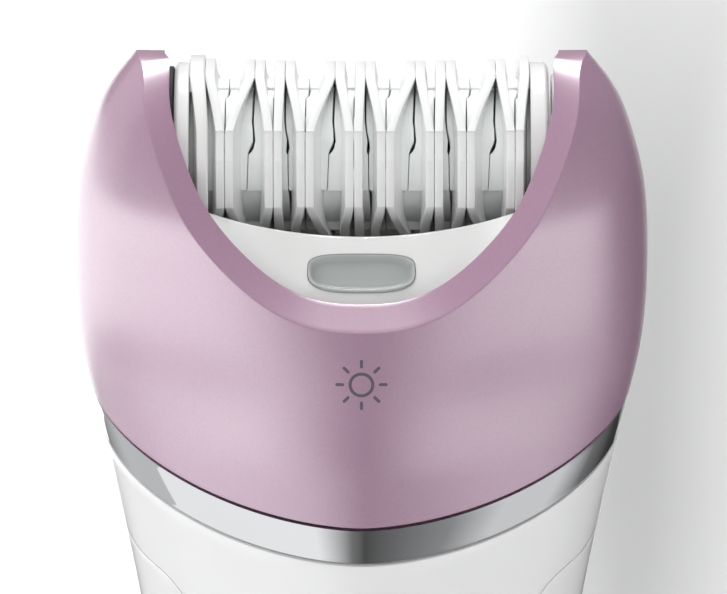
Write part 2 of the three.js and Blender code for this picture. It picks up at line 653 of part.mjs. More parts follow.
// The stack is a little fuller at its ends than in the middle.
function discRadius(index) {
  const share = (hubMiddle(index) - (SPAN_START + SPAN_END) / 2) / (SPAN_END - SPAN_START) * 2;
  return index === DISCS - 1 ? FLANGE_RADIUS : DISC_RADIUS + END_FULLNESS * share ** 2;
}

function tweezerDisc(index) {
  const rings = [];
  for (let i = 0; i < DISC_COLUMNS; i += 1) {
    const degrees = FRONT_ZONE + i / DISC_COLUMNS * 360;
    const angle = radians(degrees);
    const at = (radius, x) => (
      new THREE.Vector3(x, -radius * Math.cos(angle), AXIS_Z + radius * Math.sin(angle)));
    const rim = discMiddle(index, degrees);
    const hub = hubMiddle(index);
    const half = DISC_THICKNESS / 2;
    const radius = discRadius(index);
    rings.push([
      at(DISC_BORE, hub - half), at(radius, rim - half), at(radius, rim + half), at(DISC_BORE, hub + half),
    ]);
  }
  return loft(rings, true);
}

// End caps: a drum on each side, reaching in to the core. Only the left one has a flange,
// which the first disc closes against.
const DRUM_GROOVE = 0.4;
const GROOVE_RADIUS = CAP_RADIUS - 0.8;
const DRUM_CHAMFER = 0.5;
const NECK_RADIUS = 6.6;

function leftCap() {
  const flangeEnd = SPAN_START - FLANGE_THICKNESS;
  const drumStart = flangeEnd - DRUM_GROOVE;
  return turned([
    [SHAFT_RADIUS + GAP, SPAN_START], [FLANGE_RADIUS, SPAN_START], [FLANGE_RADIUS, flangeEnd],
    [GROOVE_RADIUS, flangeEnd], [GROOVE_RADIUS, drumStart], [CAP_RADIUS, drumStart],
    [CAP_RADIUS, -CAP_END + DRUM_CHAMFER], [CAP_RADIUS - DRUM_CHAMFER, -CAP_END],
    [SHAFT_RADIUS + GAP, -CAP_END],
  ], 'x', [0, 0, AXIS_Z], 24);
}

function rightCap() {
  const drumStart = SPAN_END + END_LEAN + GAP;
  return turned([
    [SHAFT_RADIUS + GAP, SPAN_END], [NECK_RADIUS, SPAN_END], [NECK_RADIUS, drumStart],
    [CAP_RADIUS, drumStart], [CAP_RADIUS, CAP_END - DRUM_CHAMFER], [CAP_RADIUS - DRUM_CHAMFER, CAP_END],
    [SHAFT_RADIUS + GAP, CAP_END],
  ], 'x', [0, 0, AXIS_Z], 24);
}

// Spur pinion, shaft and crown wheel in one piece, turning about X below the barrel.
const CROWN_FACE = -pitchRadius(SPINDLE_TEETH); // pitch plane of the crown's teeth
const CROWN = { radius: 7.8, thickness: 1.6, toothFrom: -7.7, toothTo: -6.3, toothHalf: 0.25, root: 0.3 };
function crossGear() {
  let body = solid(spurGear(CROSS_TEETH, 0, CROSS_RADIUS - 0.5, GEAR_X, CROSS_Z));
  const backX = CROWN_FACE - DEDENDUM;
  const plateX = backX - CROWN.thickness;
  body = body.add(solid(turned([
    [0, GEAR_X], [CROSS_RADIUS, GEAR_X], [CROSS_RADIUS, plateX],
    [CROWN.radius, plateX], [CROWN.radius, backX], [0, backX],
  ], 'x', [0, 0, CROSS_Z], 24)));
  for (let i = 0; i < CROWN_TEETH; i += 1) {
    const tooth = box(
      backX - CROWN.root, CROWN_FACE + ADDENDUM, -CROWN.toothHalf, CROWN.toothHalf,
      CROWN.toothFrom, CROWN.toothTo);
    tooth.rotateX((i + 0.5) / CROWN_TEETH * Math.PI * 2).translate(0, 0, CROSS_Z);
    body = body.add(solid(tooth));
  }
  return body;
}

// Vertical spindle: pinion at the top, and a socket for the drive dog at the bottom.
function driveSpindle() {
  const pinionZ = CROSS_Z - pitchRadius(CROWN_TEETH) - 1.1;
  const pinion = solid(pushed(gearOutline(SPINDLE_TEETH), 2.2).translate(0, 0, pinionZ));
  const shaft = solid(turned(rod(SHAFT_RADIUS, 131, pinionZ + 4), 'z', [0, 0, 0], 16));
  const cup = solid(turned(rod(4.4, 128.3, FLOOR_Z - GAP), 'z', [0, 0, 0], 24));
  const size = DOG_HALF_SIZE + GAP;
  return pinion.add(shaft).add(cup).subtract(solid(box(-size, size, -size, size, 120, DOG_TOP + GAP)));
}

// ---- Assembly -----------------------------------------------------------------------------

const COLOURS = {
  lilac: { color: 0xcdb2c8, roughness: 0.38, metalness: 0.35 },
  white: { color: 0xf2f1f1, roughness: 0.22, metalness: 0 },
  tweezer: { color: 0xe8e8e6, roughness: 0.4, metalness: 0 },
  chrome: { color: 0xd8d8d8, roughness: 0.06, metalness: 1 },
  steel: { color: 0xa9abad, roughness: 0.35, metalness: 1 },
  grey: { color: 0x8d9192, roughness: 0.5, metalness: 0 },
  clear: { color: 0xb9c2c4, roughness: 0.12, metalness: 0 },
  gear: { color: 0xd9d6cc, roughness: 0.5, metalness: 0 },
  rubber: { color: 0x3a3a3c, roughness: 0.85, metalness: 0 },
  board: { color: 0x2c6b45, roughness: 0.6, metalness: 0 },
  cell: { color: 0x4d7fb0, roughness: 0.45, metalness: 0 },
};

const epilator = new THREE.Group();

function place(name, shape, colour) {
  const geometry = shape.isBufferGeometry ? shape : geometryOf(shape);
  const mesh = new THREE.Mesh(geometry, new THREE.MeshStandardMaterial(COLOURS[colour]));
  mesh.name = name;
  epilator.add(mesh);
}

const headAt = [0, 0, AXIS_Z];

// Handle.
place('front_shell', frontShell(), 'white');
place('rear_shell', rearShell(), 'white');
place('base_cap', baseCap(), 'grey');
place('chrome_ring', chromeRing(), 'chrome');
place('top_deck', topDeck(), 'grey');
place('shaft_seal', turned(ring(3.4, SEAL_RADIUS, DECK_Z + 0.2, DECK_Z + 1.8), 'z'), 'rubber');
place('chassis', chassis(), 'grey');
const cell = rod(CELL_RADIUS, CELL_Z, CELL_Z + CELL_LENGTH);
place('battery_cell', turned(cell, 'z', [0, CELL_Y, 0], 20), 'cell');
place('circuit_board', box(
  -BOARD.halfWidth, BOARD.halfWidth, BOARD.y, BOARD.y + BOARD.thickness, BOARD.bottom, BOARD.top), 'board');
place('motor_can', motorCan(), 'steel');
place('motor_rotor', motorRotor(), 'steel');
place('motor_dog', motorDog(), 'gear');
place('charging_socket', chargingSocket(), 'rubber');
for (const [name, side] of [['left', -1], ['right', 1]]) {
  const pin = rod(PIN.radius, PIN.from, PIN.to);
  place(`socket_pin_${name}`, turned(pin, 'z', [side * PIN.x, 0, 0], 12), 'steel');
}

// Power button, its membrane and switch, and the charge light.
place('power_button', turned([
  [0, BUTTON.middle], [BUTTON_RADIUS - BUTTON.crown, BUTTON.shoulder], [BUTTON_RADIUS, BUTTON.edge],
  [BUTTON_RADIUS, BUTTON.flange], [BUTTON_RADIUS + BUTTON.lip, BUTTON.flange],
  [BUTTON_RADIUS + BUTTON.lip, BUTTON.back], [0, BUTTON.back],
], 'y', [0, 0, BUTTON_Z], 24), 'white');
place('button_seal', turned(
  ring(SEAL.inner, SEAL.outer, SEAL.front, SEAL.back), 'y', [0, 0, BUTTON_Z], 16), 'rubber');
place('button_switch', box(
  -SWITCH.half, SWITCH.half, SWITCH.front, BOARD.y - GAP,
  BUTTON_Z - SWITCH.half, BUTTON_Z + SWITCH.half), 'steel');
const lensZ = BUTTON_Z - LENS.drop;
place('charge_lens', turned(rod(LENS.radius, LENS.front, LENS.back), 'y', [0, 0, lensZ], 12), 'clear');
place('charge_led', box(
  -LED.halfWidth, LED.halfWidth, LED.front, BOARD.y - GAP,
  lensZ - LED.halfHeight, lensZ + LED.halfHeight), 'clear');
SCREWS.forEach(([x, z], i) => {
  const under = SCREW_SEAT_Y + GAP;
  place(`housing_screw_${i + 1}`, along([
    [0, 0], [SCREW.shank, 0], [SCREW.shank, under], [SCREW.head, under],
    [SCREW.head, SCREW.end], [0, SCREW.end],
  ], x, z), 'steel');
});

// Head release button on the back, with its coil spring.
const releaseBack = measure(RELEASE_Z, 'back');
const releaseCap = solid(
  pushed(roundedOutline(RELEASE_WIDTH, RELEASE_HEIGHT, RELEASE.radius), RELEASE.depth)
    .rotateX(-Math.PI / 2)
    .translate(0, releaseBack - RELEASE.sunk, RELEASE_Z));
const releaseFlange = solid(box(
  -RELEASE_FLANGE.halfWidth, RELEASE_FLANGE.halfWidth, releaseBack - RELEASE_FLANGE.sunk,
  releaseBack - RELEASE_FLANGE.end, RELEASE_Z - RELEASE_FLANGE.below, RELEASE_Z + RELEASE_FLANGE.above));
place('release_button', releaseCap.add(releaseFlange), 'grey');
place('release_spring', coilSpring(SPRING)
  .rotateX(-Math.PI / 2).translate(0, releaseBack - SPRING.sunk, RELEASE_Z), 'steel');

// Head.
place('head_cover', headCover(), 'lilac');
place('front_collar', frontCollar(), 'white');
place('rear_collar', collarStrip(1), 'white');
place('light_window', windowBlock(-GAP, -1.5, 1), 'clear');
place('light_led', windowBlock(-1.4, -3.6, 1.2), 'clear');
place('head_carrier', headCarrier(), 'grey');
for (const [name, side] of [['left', -1], ['right', 1]]) {
  const from = side < 0 ? ARM_TRIM - ARM_OUTER : ARM_INNER;
  const to = side < 0 ? -ARM_INNER : ARM_OUTER - ARM_TRIM;
  place(`bearing_${name}`, turned(ring(SHAFT_RADIUS + GAP, BEARING_RADIUS, from, to), 'x', headAt), 'steel');
}
place('idler_pin', turned(
  rod(IDLER_PIN_RADIUS, 0.6 - ARM_OUTER, GEAR_X + GEAR_WIDTH + 0.2), 'x', [0, 0, IDLER_Z], 16), 'steel');

// Barrel.
place('barrel_shaft', turned(rod(SHAFT_RADIUS, -SHAFT_END, SHAFT_END), 'x', headAt, 20), 'steel');
place('barrel_core', turned(
  ring(SHAFT_RADIUS + GAP, CORE_RADIUS, SPAN_START + GAP, SPAN_END - GAP), 'x', headAt, 28), 'grey');
place('end_cap_left', leftCap(), 'white');
place('end_cap_right', rightCap(), 'white');
place('thrust_ring', turned(
  ring(SHAFT_RADIUS + GAP, THRUST_RADIUS, CAP_END + GAP, CAP_END + 1.1), 'x', headAt, 20), 'white');
for (let i = 0; i < DISCS; i += 1) {
  place(`tweezer_disc_${i + 1}`, tweezerDisc(i), 'tweezer');
}

// Gear train.
const halfPitch = (teeth) => Math.PI / teeth;
place('barrel_gear', spurGear(BARREL_TEETH, 0, SHAFT_RADIUS + GAP, GEAR_X, AXIS_Z), 'gear');
place('idler_gear', spurGear(IDLER_TEETH, halfPitch(IDLER_TEETH), IDLER_BORE, GEAR_X, IDLER_Z), 'gear');
place('cross_gear', crossGear(), 'gear');
place('drive_spindle', driveSpindle(), 'gear');

export default epilator;
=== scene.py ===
"""Cordless epilator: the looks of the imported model, in its frame (+Z up, front towards -Y)."""
import math

import bmesh
import bpy
import numpy as np
from mathutils import Matrix, Vector


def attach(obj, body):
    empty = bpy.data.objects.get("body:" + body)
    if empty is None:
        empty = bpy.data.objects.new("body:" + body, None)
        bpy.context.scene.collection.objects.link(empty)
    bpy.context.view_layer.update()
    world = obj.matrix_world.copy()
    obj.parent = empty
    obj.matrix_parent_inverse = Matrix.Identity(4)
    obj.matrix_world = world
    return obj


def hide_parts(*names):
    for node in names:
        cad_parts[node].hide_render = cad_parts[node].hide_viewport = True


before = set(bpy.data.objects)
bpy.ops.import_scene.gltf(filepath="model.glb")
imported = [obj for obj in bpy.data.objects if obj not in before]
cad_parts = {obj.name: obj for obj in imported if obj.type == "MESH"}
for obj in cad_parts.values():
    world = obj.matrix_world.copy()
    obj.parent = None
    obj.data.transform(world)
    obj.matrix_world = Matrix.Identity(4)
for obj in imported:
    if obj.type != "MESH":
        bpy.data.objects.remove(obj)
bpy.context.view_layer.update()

MM = 0.001  # every shape below is worked out in millimetres
TAU = 2 * math.pi

# ---- Driving dimensions, as in the CAD model ----

AXIS_Z = 163.0  # barrel axis, along X
HORN_TOP = 11.2
GAP = 0.3
WALL = 1.8
COVER_WALL = 2.2
RIM_WIDTH = 3.0
SEAM_Z = 137.5
SEAM_SLOPE = 0.49
RING_HEIGHT = 4.3
# Notch at the front and at the back: lowest point, fullness, and rise of its inner edge.
NOTCH_LOW, NOTCH_POWER, RIM_RISE = (-13.7, -10.0), (3.5, 2.2), (2.3, 1.2)
NOTCH_ROUND = 1.5
RISE_POWER = 1.5

# Outer form: height, half width, depth in front, depth behind, exponent of the section.
STATIONS = np.array([
    (0, 15.5, 11.5, 11.5, 2.1), (3, 16.7, 12.6, 12.6, 2.1), (8, 17.6, 13.2, 13.2, 2.1),
    (25, 18.4, 13, 14, 2.1), (50, 18.6, 12.3, 15.3, 2.1), (75, 19.2, 12.8, 16, 2.05),
    (95, 20.6, 14.8, 16.2, 1.95), (114, 23.3, 17.6, 17.4, 1.8), (133, 27.2, 20, 19.4, 1.7),
    (141.4, 29.2, 20, 20, 1.7), (147, 29.9, 20, 20, 1.8), (153.6, 30.05, 19.8, 19.8, 1.9),
    (159, 29.8, 19.4, 19.4, 2), (163, 29.1, 18.7, 18.7, 2), (168.2, 27.5, 17.2, 17.2, 2),
    (171, 26, 15.7, 15.7, 2), (174.2, 23.5, 13, 13, 2),
])
SIDE, FRONT, BACK, POWER = 1, 2, 3, 4

# Tweezer barrel.
SPAN_START = -16.3
PERIOD = 8.36
PERIODS = 4
SPAN_END = SPAN_START + PERIOD * PERIODS
TOP_PLANES = (0.0, 5.2)
FRONT_PLANES = (2.1, 7.15)
BLADES_IN_ALL = PERIODS * 4  # the last one also closes the stack's right end
END_LEAN = 0.35
BLADE = 0.9
TIP_BLADE = 1.04  # the tweezers are thicker where their tips close at the top
BLADE_RADIUS = 9.95
BLADE_BORE = 7.1
FRONT_ZONE = 5.0
CLOSED_HALF_ANGLE = 23.0  # at the front
TIP_HALF_ANGLE = 26.0  # at the top
CLOSED_GAP = 0.03
OPEN_GAP = 0.5
HUB_RADIUS = 7.75
HUB_BORE = 5.2
HUB_BAND = 0.25  # how much fuller the hub is over the top
FLANGE_RADIUS = 10.5
CAP_END = 19.5


# ---- Form ----

def measure(z, column):
    """Smooth curve through the stations, for one of their measures."""
    heights, values = STATIONS[:, 0], STATIONS[:, column]
    last = len(heights) - 1
    before, after = np.maximum(np.arange(last + 1) - 1, 0), np.minimum(np.arange(last + 1) + 1, last)
    slopes = (values[after] - values[before]) / (heights[after] - heights[before])
    z = np.asarray(z, float)
    i = np.clip(np.searchsorted(heights, z), 1, last)
    step = heights[i] - heights[i - 1]
    t = np.clip((z - heights[i - 1]) / step, 0, 1)
    return (values[i - 1] * (1 + 2 * t) * (1 - t) ** 2 + slopes[i - 1] * step * t * (1 - t) ** 2
            + values[i] * t * t * (3 - 2 * t) + slopes[i] * step * t * t * (t - 1))


def form(angle, z, inset=0.0):
    """Points of the outer form, moved inwards by inset, at angles round the Z axis."""
    angle, z, inset = np.broadcast_arrays(np.asarray(angle, float), z, inset)
    bend = 2 / measure(z, POWER)
    sine, cosine = np.sin(angle), np.cos(angle)
    depth = np.where(sine < 0, measure(z, FRONT), measure(z, BACK)) - inset
    x = (measure(z, SIDE) - inset) * np.sign(cosine) * np.abs(cosine) ** bend
    y = depth * np.sign(sine) * np.abs(sine) ** bend
    return np.stack([x, y, z.astype(float)], -1)


def on_seam(angle, drop, inset=0.0):
    """Height at which the form meets the tilted seam plane, lowered by drop."""
    z = np.full(np.shape(angle), SEAM_Z - drop)
    for _ in range(14):  # the slope is gentle, so this settles well before the last round
        z = SEAM_Z - drop + SEAM_SLOPE * form(angle, z, inset)[..., 1]
    return z


def rim_height(reach, front):
    """Height of the rim round the notch: reach is 0 at the horns and 1 in the middle."""
    low, power = np.where(front, *NOTCH_LOW), np.where(front, *NOTCH_POWER)
    return AXIS_Z + low + (HORN_TOP - low) * np.maximum(1 - reach ** power, 0) ** NOTCH_ROUND


def rim_rise(reach, front):
    """How much higher the rim's inner edge lies than its outer one."""
    return np.where(front, *RIM_RISE) * reach ** RISE_POWER


def fillet(points, radius, steps=4):
    """Rounds the corners of a closed flat outline given as [a, b] pairs."""
    points = [np.array(p, float) for p in points]
    radii = radius if hasattr(radius, "__len__") else [radius] * len(points)
    out = []
    for i, p in enumerate(points):
        a, b = points[i - 1] - p, points[(i + 1) % len(points)] - p
        la, lb = np.linalg.norm(a), np.linalg.norm(b)
        reach = min(radii[i], 0.48 * la, 0.48 * lb)
        if reach < 1e-4:
            out.append(p)
            continue
        start, end = p + a / la * reach, p + b / lb * reach
        for t in np.linspace(0, 1, steps + 1):
            out.append((1 - t) ** 2 * start + 2 * t * (1 - t) * p + t * t * end)
    return np.array(out)


# ---- Mesh tools ----

def new_object(name, points, faces):
    """Mesh object from points in millimetres, with doubled points merged and normals outwards."""
    mesh = bpy.data.meshes.new(name)
    mesh.from_pydata((np.asarray(points, float) * MM).tolist(), [], [list(map(int, f)) for f in faces])
    work = bmesh.new()
    work.from_mesh(mesh)
    bmesh.ops.remove_doubles(work, verts=work.verts, dist=1e-7)
    bmesh.ops.recalc_face_normals(work, faces=work.faces)
    work.to_mesh(mesh)
    work.free()
    obj = bpy.data.objects.new(name, mesh)
    bpy.context.scene.collection.objects.link(obj)
    return obj


def grid(name, points, wrap_rows=False):
    """Surface through closed rows of points. Rows that don't wrap are capped at both ends."""
    points = np.asarray(points, float)
    rows, columns = points.shape[:2]
    index = np.arange(rows * columns).reshape(rows, columns)
    upper, lower = (index, np.roll(index, -1, 0)) if wrap_rows else (index[:-1], index[1:])
    quads = np.stack([upper, np.roll(upper, -1, 1), np.roll(lower, -1, 1), lower], -1)
    faces = quads.reshape(-1, 4).tolist()
    if not wrap_rows:
        faces += [index[0].tolist(), index[-1][::-1].tolist()]
    return new_object(name, points.reshape(-1, 3), faces)


def lathe(name, profile, axis, centre=(0, 0, 0), count=96):
    """Turned piece. The profile is a closed outline of [radius, distance along the axis]."""
    profile = np.asarray(profile, float)
    angle = np.arange(count) / count * TAU
    radius, along = profile[:, 0][None], profile[:, 1][None]
    u, v = radius * np.cos(angle)[:, None], radius * np.sin(angle)[:, None]
    w = np.broadcast_to(along, u.shape)
    order = {"x": (w, u, v), "y": (u, w, v), "z": (u, v, w)}[axis]
    return grid(name, np.stack(order, -1) + np.asarray(centre, float), wrap_rows=True)


def prism(name, outline, axis, start, stop):
    """Flat outline pushed along an axis. The outline's pairs are the other two, in X, Y, Z order."""
    outline = np.asarray(outline, float)
    rows = []
    for place in (start, stop):
        level = np.full(len(outline), place)
        a, b = outline[:, 0], outline[:, 1]
        rows.append(np.stack({"x": (level, a, b), "y": (a, level, b), "z": (a, b, level)}[axis], -1))
    return grid(name, rows)


CORNER_REACH = 1.25  # a parabolic corner starts this much farther out than a round one


def rounded_box(width, height, radius, steps=8):
    """Outline of a rectangle with rounded corners, about the origin."""
    x, y = width / 2, height / 2
    return fillet([(-x, -y), (x, -y), (x, y), (-x, y)], radius * CORNER_REACH, steps)


def apply_modifiers(obj):
    """Turns the object's modifiers into plain mesh."""
    graph = bpy.context.evaluated_depsgraph_get()
    mesh = bpy.data.meshes.new_from_object(obj.evaluated_get(graph))
    old = obj.data
    obj.modifiers.clear()
    obj.data = mesh
    mesh.name = obj.name
    bpy.data.meshes.remove(old)


def cut(obj, cutters, operation="DIFFERENCE"):
    """Boolean of obj with each cutter, which is used up."""
    for cutter in cutters:
        modifier = obj.modifiers.new("cut", "BOOLEAN")
        modifier.operation = operation
        modifier.solver = "EXACT"
        modifier.object = cutter
        apply_modifiers(obj)
        bpy.data.objects.remove(cutter)
    return obj


def bevel(obj, width, segments=2, angle=50):
    """Rounds the edges that are sharper than angle."""
    modifier = obj.modifiers.new("bevel", "BEVEL")
    modifier.width = width * MM
    modifier.segments = segments
    modifier.limit_method = "ANGLE"
    modifier.angle_limit = math.radians(angle)
    modifier.use_clamp_overlap = True
    apply_modifiers(obj)
    return obj


def finish_piece(obj, body, material, replaces=(), sharp=38):
    """Shades the piece, gives it its material and body, and hides the CAD nodes that it stands for."""
    obj.data.shade_smooth()
    obj.data.set_sharp_from_angle(angle=math.radians(sharp))
    obj.data.materials.clear()
    obj.data.materials.append(material)
    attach(obj, body)
    if replaces:
        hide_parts(*replaces)
    return obj


# ---- Materials ----

DARK_SCREEN_GREY = 10  # at and below this the screen curve is a straight line
NOISE_RANGE = (0.3, 0.7)  # part of the noise that spans the colour drift
GRAIN_FINENESS = 8  # how much finer the grain is than the drift
GRAIN_DEPTH = 0.0002  # m
FLAKE_SCALE = 6500.0
FLAKE_TINT = (0.94, 1.07)
FROST_DEPTH = 0.002  # m


def linear(red, green, blue):
    """Linear colour from a 0 to 255 screen colour."""
    return tuple((c / 255 / 12.92) if c <= DARK_SCREEN_GREY else ((c / 255 + 0.055) / 1.055) ** 2.4
                 for c in (red, green, blue)) + (1.0,)


def material(name, colour, spread=0.03, roughness=0.3, rough_spread=0.04, scale=250.0, bump=0.02,
             metallic=0.0, coat=0.0, coat_roughness=0.05, specular=0.5, stretch=(1, 1, 1), extra=None,
             ior=1.5, coat_ior=1.5):
    """Shader whose colour and roughness drift slightly with a fine noise, over a faint grain."""
    mat = bpy.data.materials.new(name)
    mat.use_nodes = True
    tree = mat.node_tree
    nodes, links = tree.nodes, tree.links
    shader = nodes["Principled BSDF"]
    shader.inputs["Metallic"].default_value = metallic
    shader.inputs["IOR"].default_value = ior
    shader.inputs["Coat IOR"].default_value = coat_ior
    shader.inputs["Coat Weight"].default_value = coat
    shader.inputs["Coat Roughness"].default_value = coat_roughness
    shader.inputs["Specular IOR Level"].default_value = specular
    place = nodes.new("ShaderNodeTexCoord")
    mapping = nodes.new("ShaderNodeMapping")
    mapping.inputs["Scale"].default_value = stretch
    links.new(place.outputs["Object"], mapping.inputs["Vector"])
    cloud = nodes.new("ShaderNodeTexNoise")
    cloud.inputs["Scale"].default_value = scale
    cloud.inputs["Detail"].default_value = 3.0
    links.new(mapping.outputs["Vector"], cloud.inputs["Vector"])
    ramp = nodes.new("ShaderNodeValToRGB")
    base = linear(*colour)
    for stop, place_on_ramp, factor in zip(ramp.color_ramp.elements, NOISE_RANGE, (1 - spread, 1 + spread)):
        stop.position = place_on_ramp
        stop.color = tuple(min(1, c * factor) for c in base[:3]) + (1,)
    links.new(cloud.outputs["Fac"], ramp.inputs["Fac"])
    links.new(ramp.outputs["Color"], shader.inputs["Base Color"])
    polish = nodes.new("ShaderNodeMapRange")
    polish.inputs["To Min"].default_value = max(0.0, roughness - rough_spread)
    polish.inputs["To Max"].default_value = roughness + rough_spread
    links.new(cloud.outputs["Fac"], polish.inputs["Value"])
    links.new(polish.outputs["Result"], shader.inputs["Roughness"])
    grain = nodes.new("ShaderNodeTexNoise")
    grain.inputs["Scale"].default_value = scale * GRAIN_FINENESS
    grain.inputs["Detail"].default_value = 2.0
    links.new(mapping.outputs["Vector"], grain.inputs["Vector"])
    relief = nodes.new("ShaderNodeBump")
    relief.inputs["Strength"].default_value = bump
    relief.inputs["Distance"].default_value = GRAIN_DEPTH
    links.new(grain.outputs["Fac"], relief.inputs["Height"])
    links.new(relief.outputs["Normal"], shader.inputs["Normal"])
    if extra:
        extra(tree, shader, ramp, mapping)
    return mat


def pearl_flakes(tree, shader, ramp, mapping):
    """Fine mica flakes: cells that each tint the lacquer a little."""
    nodes, links = tree.nodes, tree.links
    cells = nodes.new("ShaderNodeTexVoronoi")
    cells.inputs["Scale"].default_value = FLAKE_SCALE
    links.new(mapping.outputs["Vector"], cells.inputs["Vector"])
    grey = nodes.new("ShaderNodeRGBToBW")
    links.new(cells.outputs["Color"], grey.inputs["Color"])
    tint = nodes.new("ShaderNodeMapRange")
    tint.inputs["To Min"].default_value, tint.inputs["To Max"].default_value = FLAKE_TINT
    links.new(grey.outputs["Val"], tint.inputs["Value"])
    mix = nodes.new("ShaderNodeVectorMath")
    mix.operation = "SCALE"
    links.new(ramp.outputs["Color"], mix.inputs[0])
    links.new(tint.outputs["Result"], mix.inputs["Scale"])
    links.new(mix.outputs["Vector"], shader.inputs["Base Color"])


def frosted(tree, shader, ramp, mapping):
    """Lets light spread a little way inside, as frosted plastic does."""
    shader.inputs["Subsurface Weight"].default_value = 0.35
    shader.inputs["Subsurface Radius"].default_value = (FROST_DEPTH, FROST_DEPTH, FROST_DEPTH)
    shader.inputs["Subsurface Scale"].default_value = 1.0


# Each has a screen colour, its drift, roughness, its drift, the noise's scale and the grain's strength.
PEARL = material("pearl_lilac_lacquer", (176, 133, 162), 0.02, 0.34, 0.02, 90, 0.01,
                 coat=1.0, coat_roughness=0.26, extra=pearl_flakes, ior=2.5, coat_ior=1.8)
GLOSS = material("glossy_white_moulding", (240, 240, 240), 0.006, 0.16, 0.015, 60, 0.004, coat=0.3)
COLLAR = material("glossy_white_collar", (238, 238, 237), 0.006, 0.2, 0.02, 80, 0.004, coat=0.4)
BLADES = material("tweezer_white", (240, 241, 240), 0.01, 0.34, 0.03, 300, 0.01)
HUB = material("hub_pale_grey", (243, 246, 245), 0.015, 0.42, 0.03, 300, 0.015)
CAP = material("end_cap_white", (238, 238, 237), 0.008, 0.22, 0.02, 200, 0.006, coat=0.2)
CHROME = material("mirror_chrome", (226, 227, 229), 0.006, 0.05, 0.012, 120, 0.002, metallic=1.0)
WINDOW = material("frosted_window", (182, 187, 185), 0.02, 0.24, 0.03, 200, 0.01, coat=0.5, extra=frosted)
PRINT = material("printed_grey", (96, 87, 101), 0.02, 0.42, 0.03, 500, 0.02)
GREY = material("satin_grey_plastic", (150, 152, 153), 0.02, 0.42, 0.04, 400, 0.05)
# Painted shade: this dark green-grey stands in for the shadow in the cavity round the drum.
CARRIER_PAINTED_SHADE = material("carrier_painted_shade_grey", (128, 134, 131), 0.03, 0.5, 0.05, 350, 0.05)
BLACK = material("socket_black", (34, 34, 35), 0.06, 0.45, 0.06, 400, 0.06)
RUBBER = material("seal_rubber", (38, 38, 40), 0.06, 0.7, 0.08, 500, 0.12)
STEEL = material("turned_steel", (172, 174, 176), 0.03, 0.3, 0.07, 200, 0.04, metallic=1.0, stretch=(1, 1, 9))
ACETAL = material("gear_acetal", (222, 220, 210), 0.02, 0.45, 0.05, 300, 0.03)
BOARD = material("solder_mask", (38, 98, 62), 0.08, 0.4, 0.08, 700, 0.08)
SLEEVE = material("cell_sleeve", (70, 116, 164), 0.03, 0.32, 0.05, 150, 0.02)
LAMP = material("lamp_resin", (236, 228, 196), 0.02, 0.3, 0.04, 300, 0.02)
LENS = material("clear_lens", (190, 206, 196), 0.02, 0.14, 0.02, 300, 0.01, coat=0.6)


# ---- Head cover ----

def head_cover():
    """One wall: up the outside, over the sloping rim of the notch and down the inside."""
    columns = 320
    angle = (np.arange(columns) + 0.5) / columns * TAU
    reach = np.abs(np.sin(angle))
    front = np.sin(angle) < 0
    top = rim_height(reach, front)
    inner_top = np.minimum(top + rim_rise(reach, front), AXIS_Z + HORN_TOP)
    bottom = on_seam(angle, -GAP / 2)
    inner_bottom = on_seam(angle, -GAP / 2, COVER_WALL)
    rows = []

    def add(height, inset, level=None):
        level = height if level is None else level
        row = form(angle, np.clip(level, 0, AXIS_Z + HORN_TOP), inset)
        row[:, 2] = height
        rows.append(row)

    add(bottom, 0.0)
    for t in np.linspace(0.012, 0.988, 56):
        add(bottom + (top - bottom) * t, 0.0)
    add(top, 0.0)
    for t in np.linspace(0.14, 1, 7):
        add(top + (inner_top - top) * t, RIM_WIDTH * t, top)
    for t in np.linspace(0.97, 0.0, 24):
        height = inner_bottom + (inner_top - inner_bottom) * t
        add(height, COVER_WALL + (RIM_WIDTH - COVER_WALL) * t ** 4, np.minimum(height, top))
    cover = grid("head_cover_shell", np.array(rows), wrap_rows=True)
    bevel(cover, 0.15, 3, 32)
    return finish_piece(cover, "head", PEARL, ["head_cover"], 75)


# Sun symbol printed on the cover: a ring and eight rays, laid on the curved surface.
SUN_Z = -19.2
SUN_RING = 1.17
SUN_STROKE = 0.32
SUN_RAYS = (1.78, 2.7)
PRINT_LIFT, PRINT_DEPTH = 0.015, 0.05
NARROWEST_STROKE = 0.004  # half width at the very end of a stroke


def on_cover_front(x, z, lift):
    """Point of the front surface at x and z, lifted off it."""
    power, side, depth = measure(z, POWER), measure(z, SIDE), measure(z, FRONT)
    y = -depth * (1 - (np.abs(x) / side) ** power) ** (1 / power)
    return np.stack([x, y - lift, z], -1)


def printed_shape(name, outlines, centre_z, lift, thickness, surface):
    """Thin inlay made of strips of [x, z] quads, wrapped on a surface."""
    points, faces = [], []
    for strip in outlines:
        strip = np.asarray(strip, float)
        start = len(points)
        count = len(strip)
        for height in (lift, lift - thickness):
            for side in (0, 1):
                points += surface(strip[:, side, 0], centre_z + strip[:, side, 1], height).tolist()
        closed = np.allclose(strip[0], strip[-1])
        a, b, c, d = (start + k * count for k in range(4))
        for i in range(count - 1):
            j = i + 1
            faces += [(a + i, a + j, b + j, b + i), (c + i, d + i, d + j, c + j),
                      (a + i, c + i, c + j, a + j), (b + i, b + j, d + j, d + i)]
        if not closed:
            last = count - 1
            faces += [(a, b, d, c), (a + last, c + last, d + last, b + last)]
    return new_object(name, points, faces)


def ring_strip(radius, stroke, start=0.0, stop=TAU, count=64):
    """A ring, or a part of one, drawn with one stroke."""
    angle = np.linspace(start, stop, count)
    direction = np.stack([np.cos(angle), np.sin(angle)], -1)
    return np.stack([direction * (radius - stroke / 2), direction * (radius + stroke / 2)], 1)


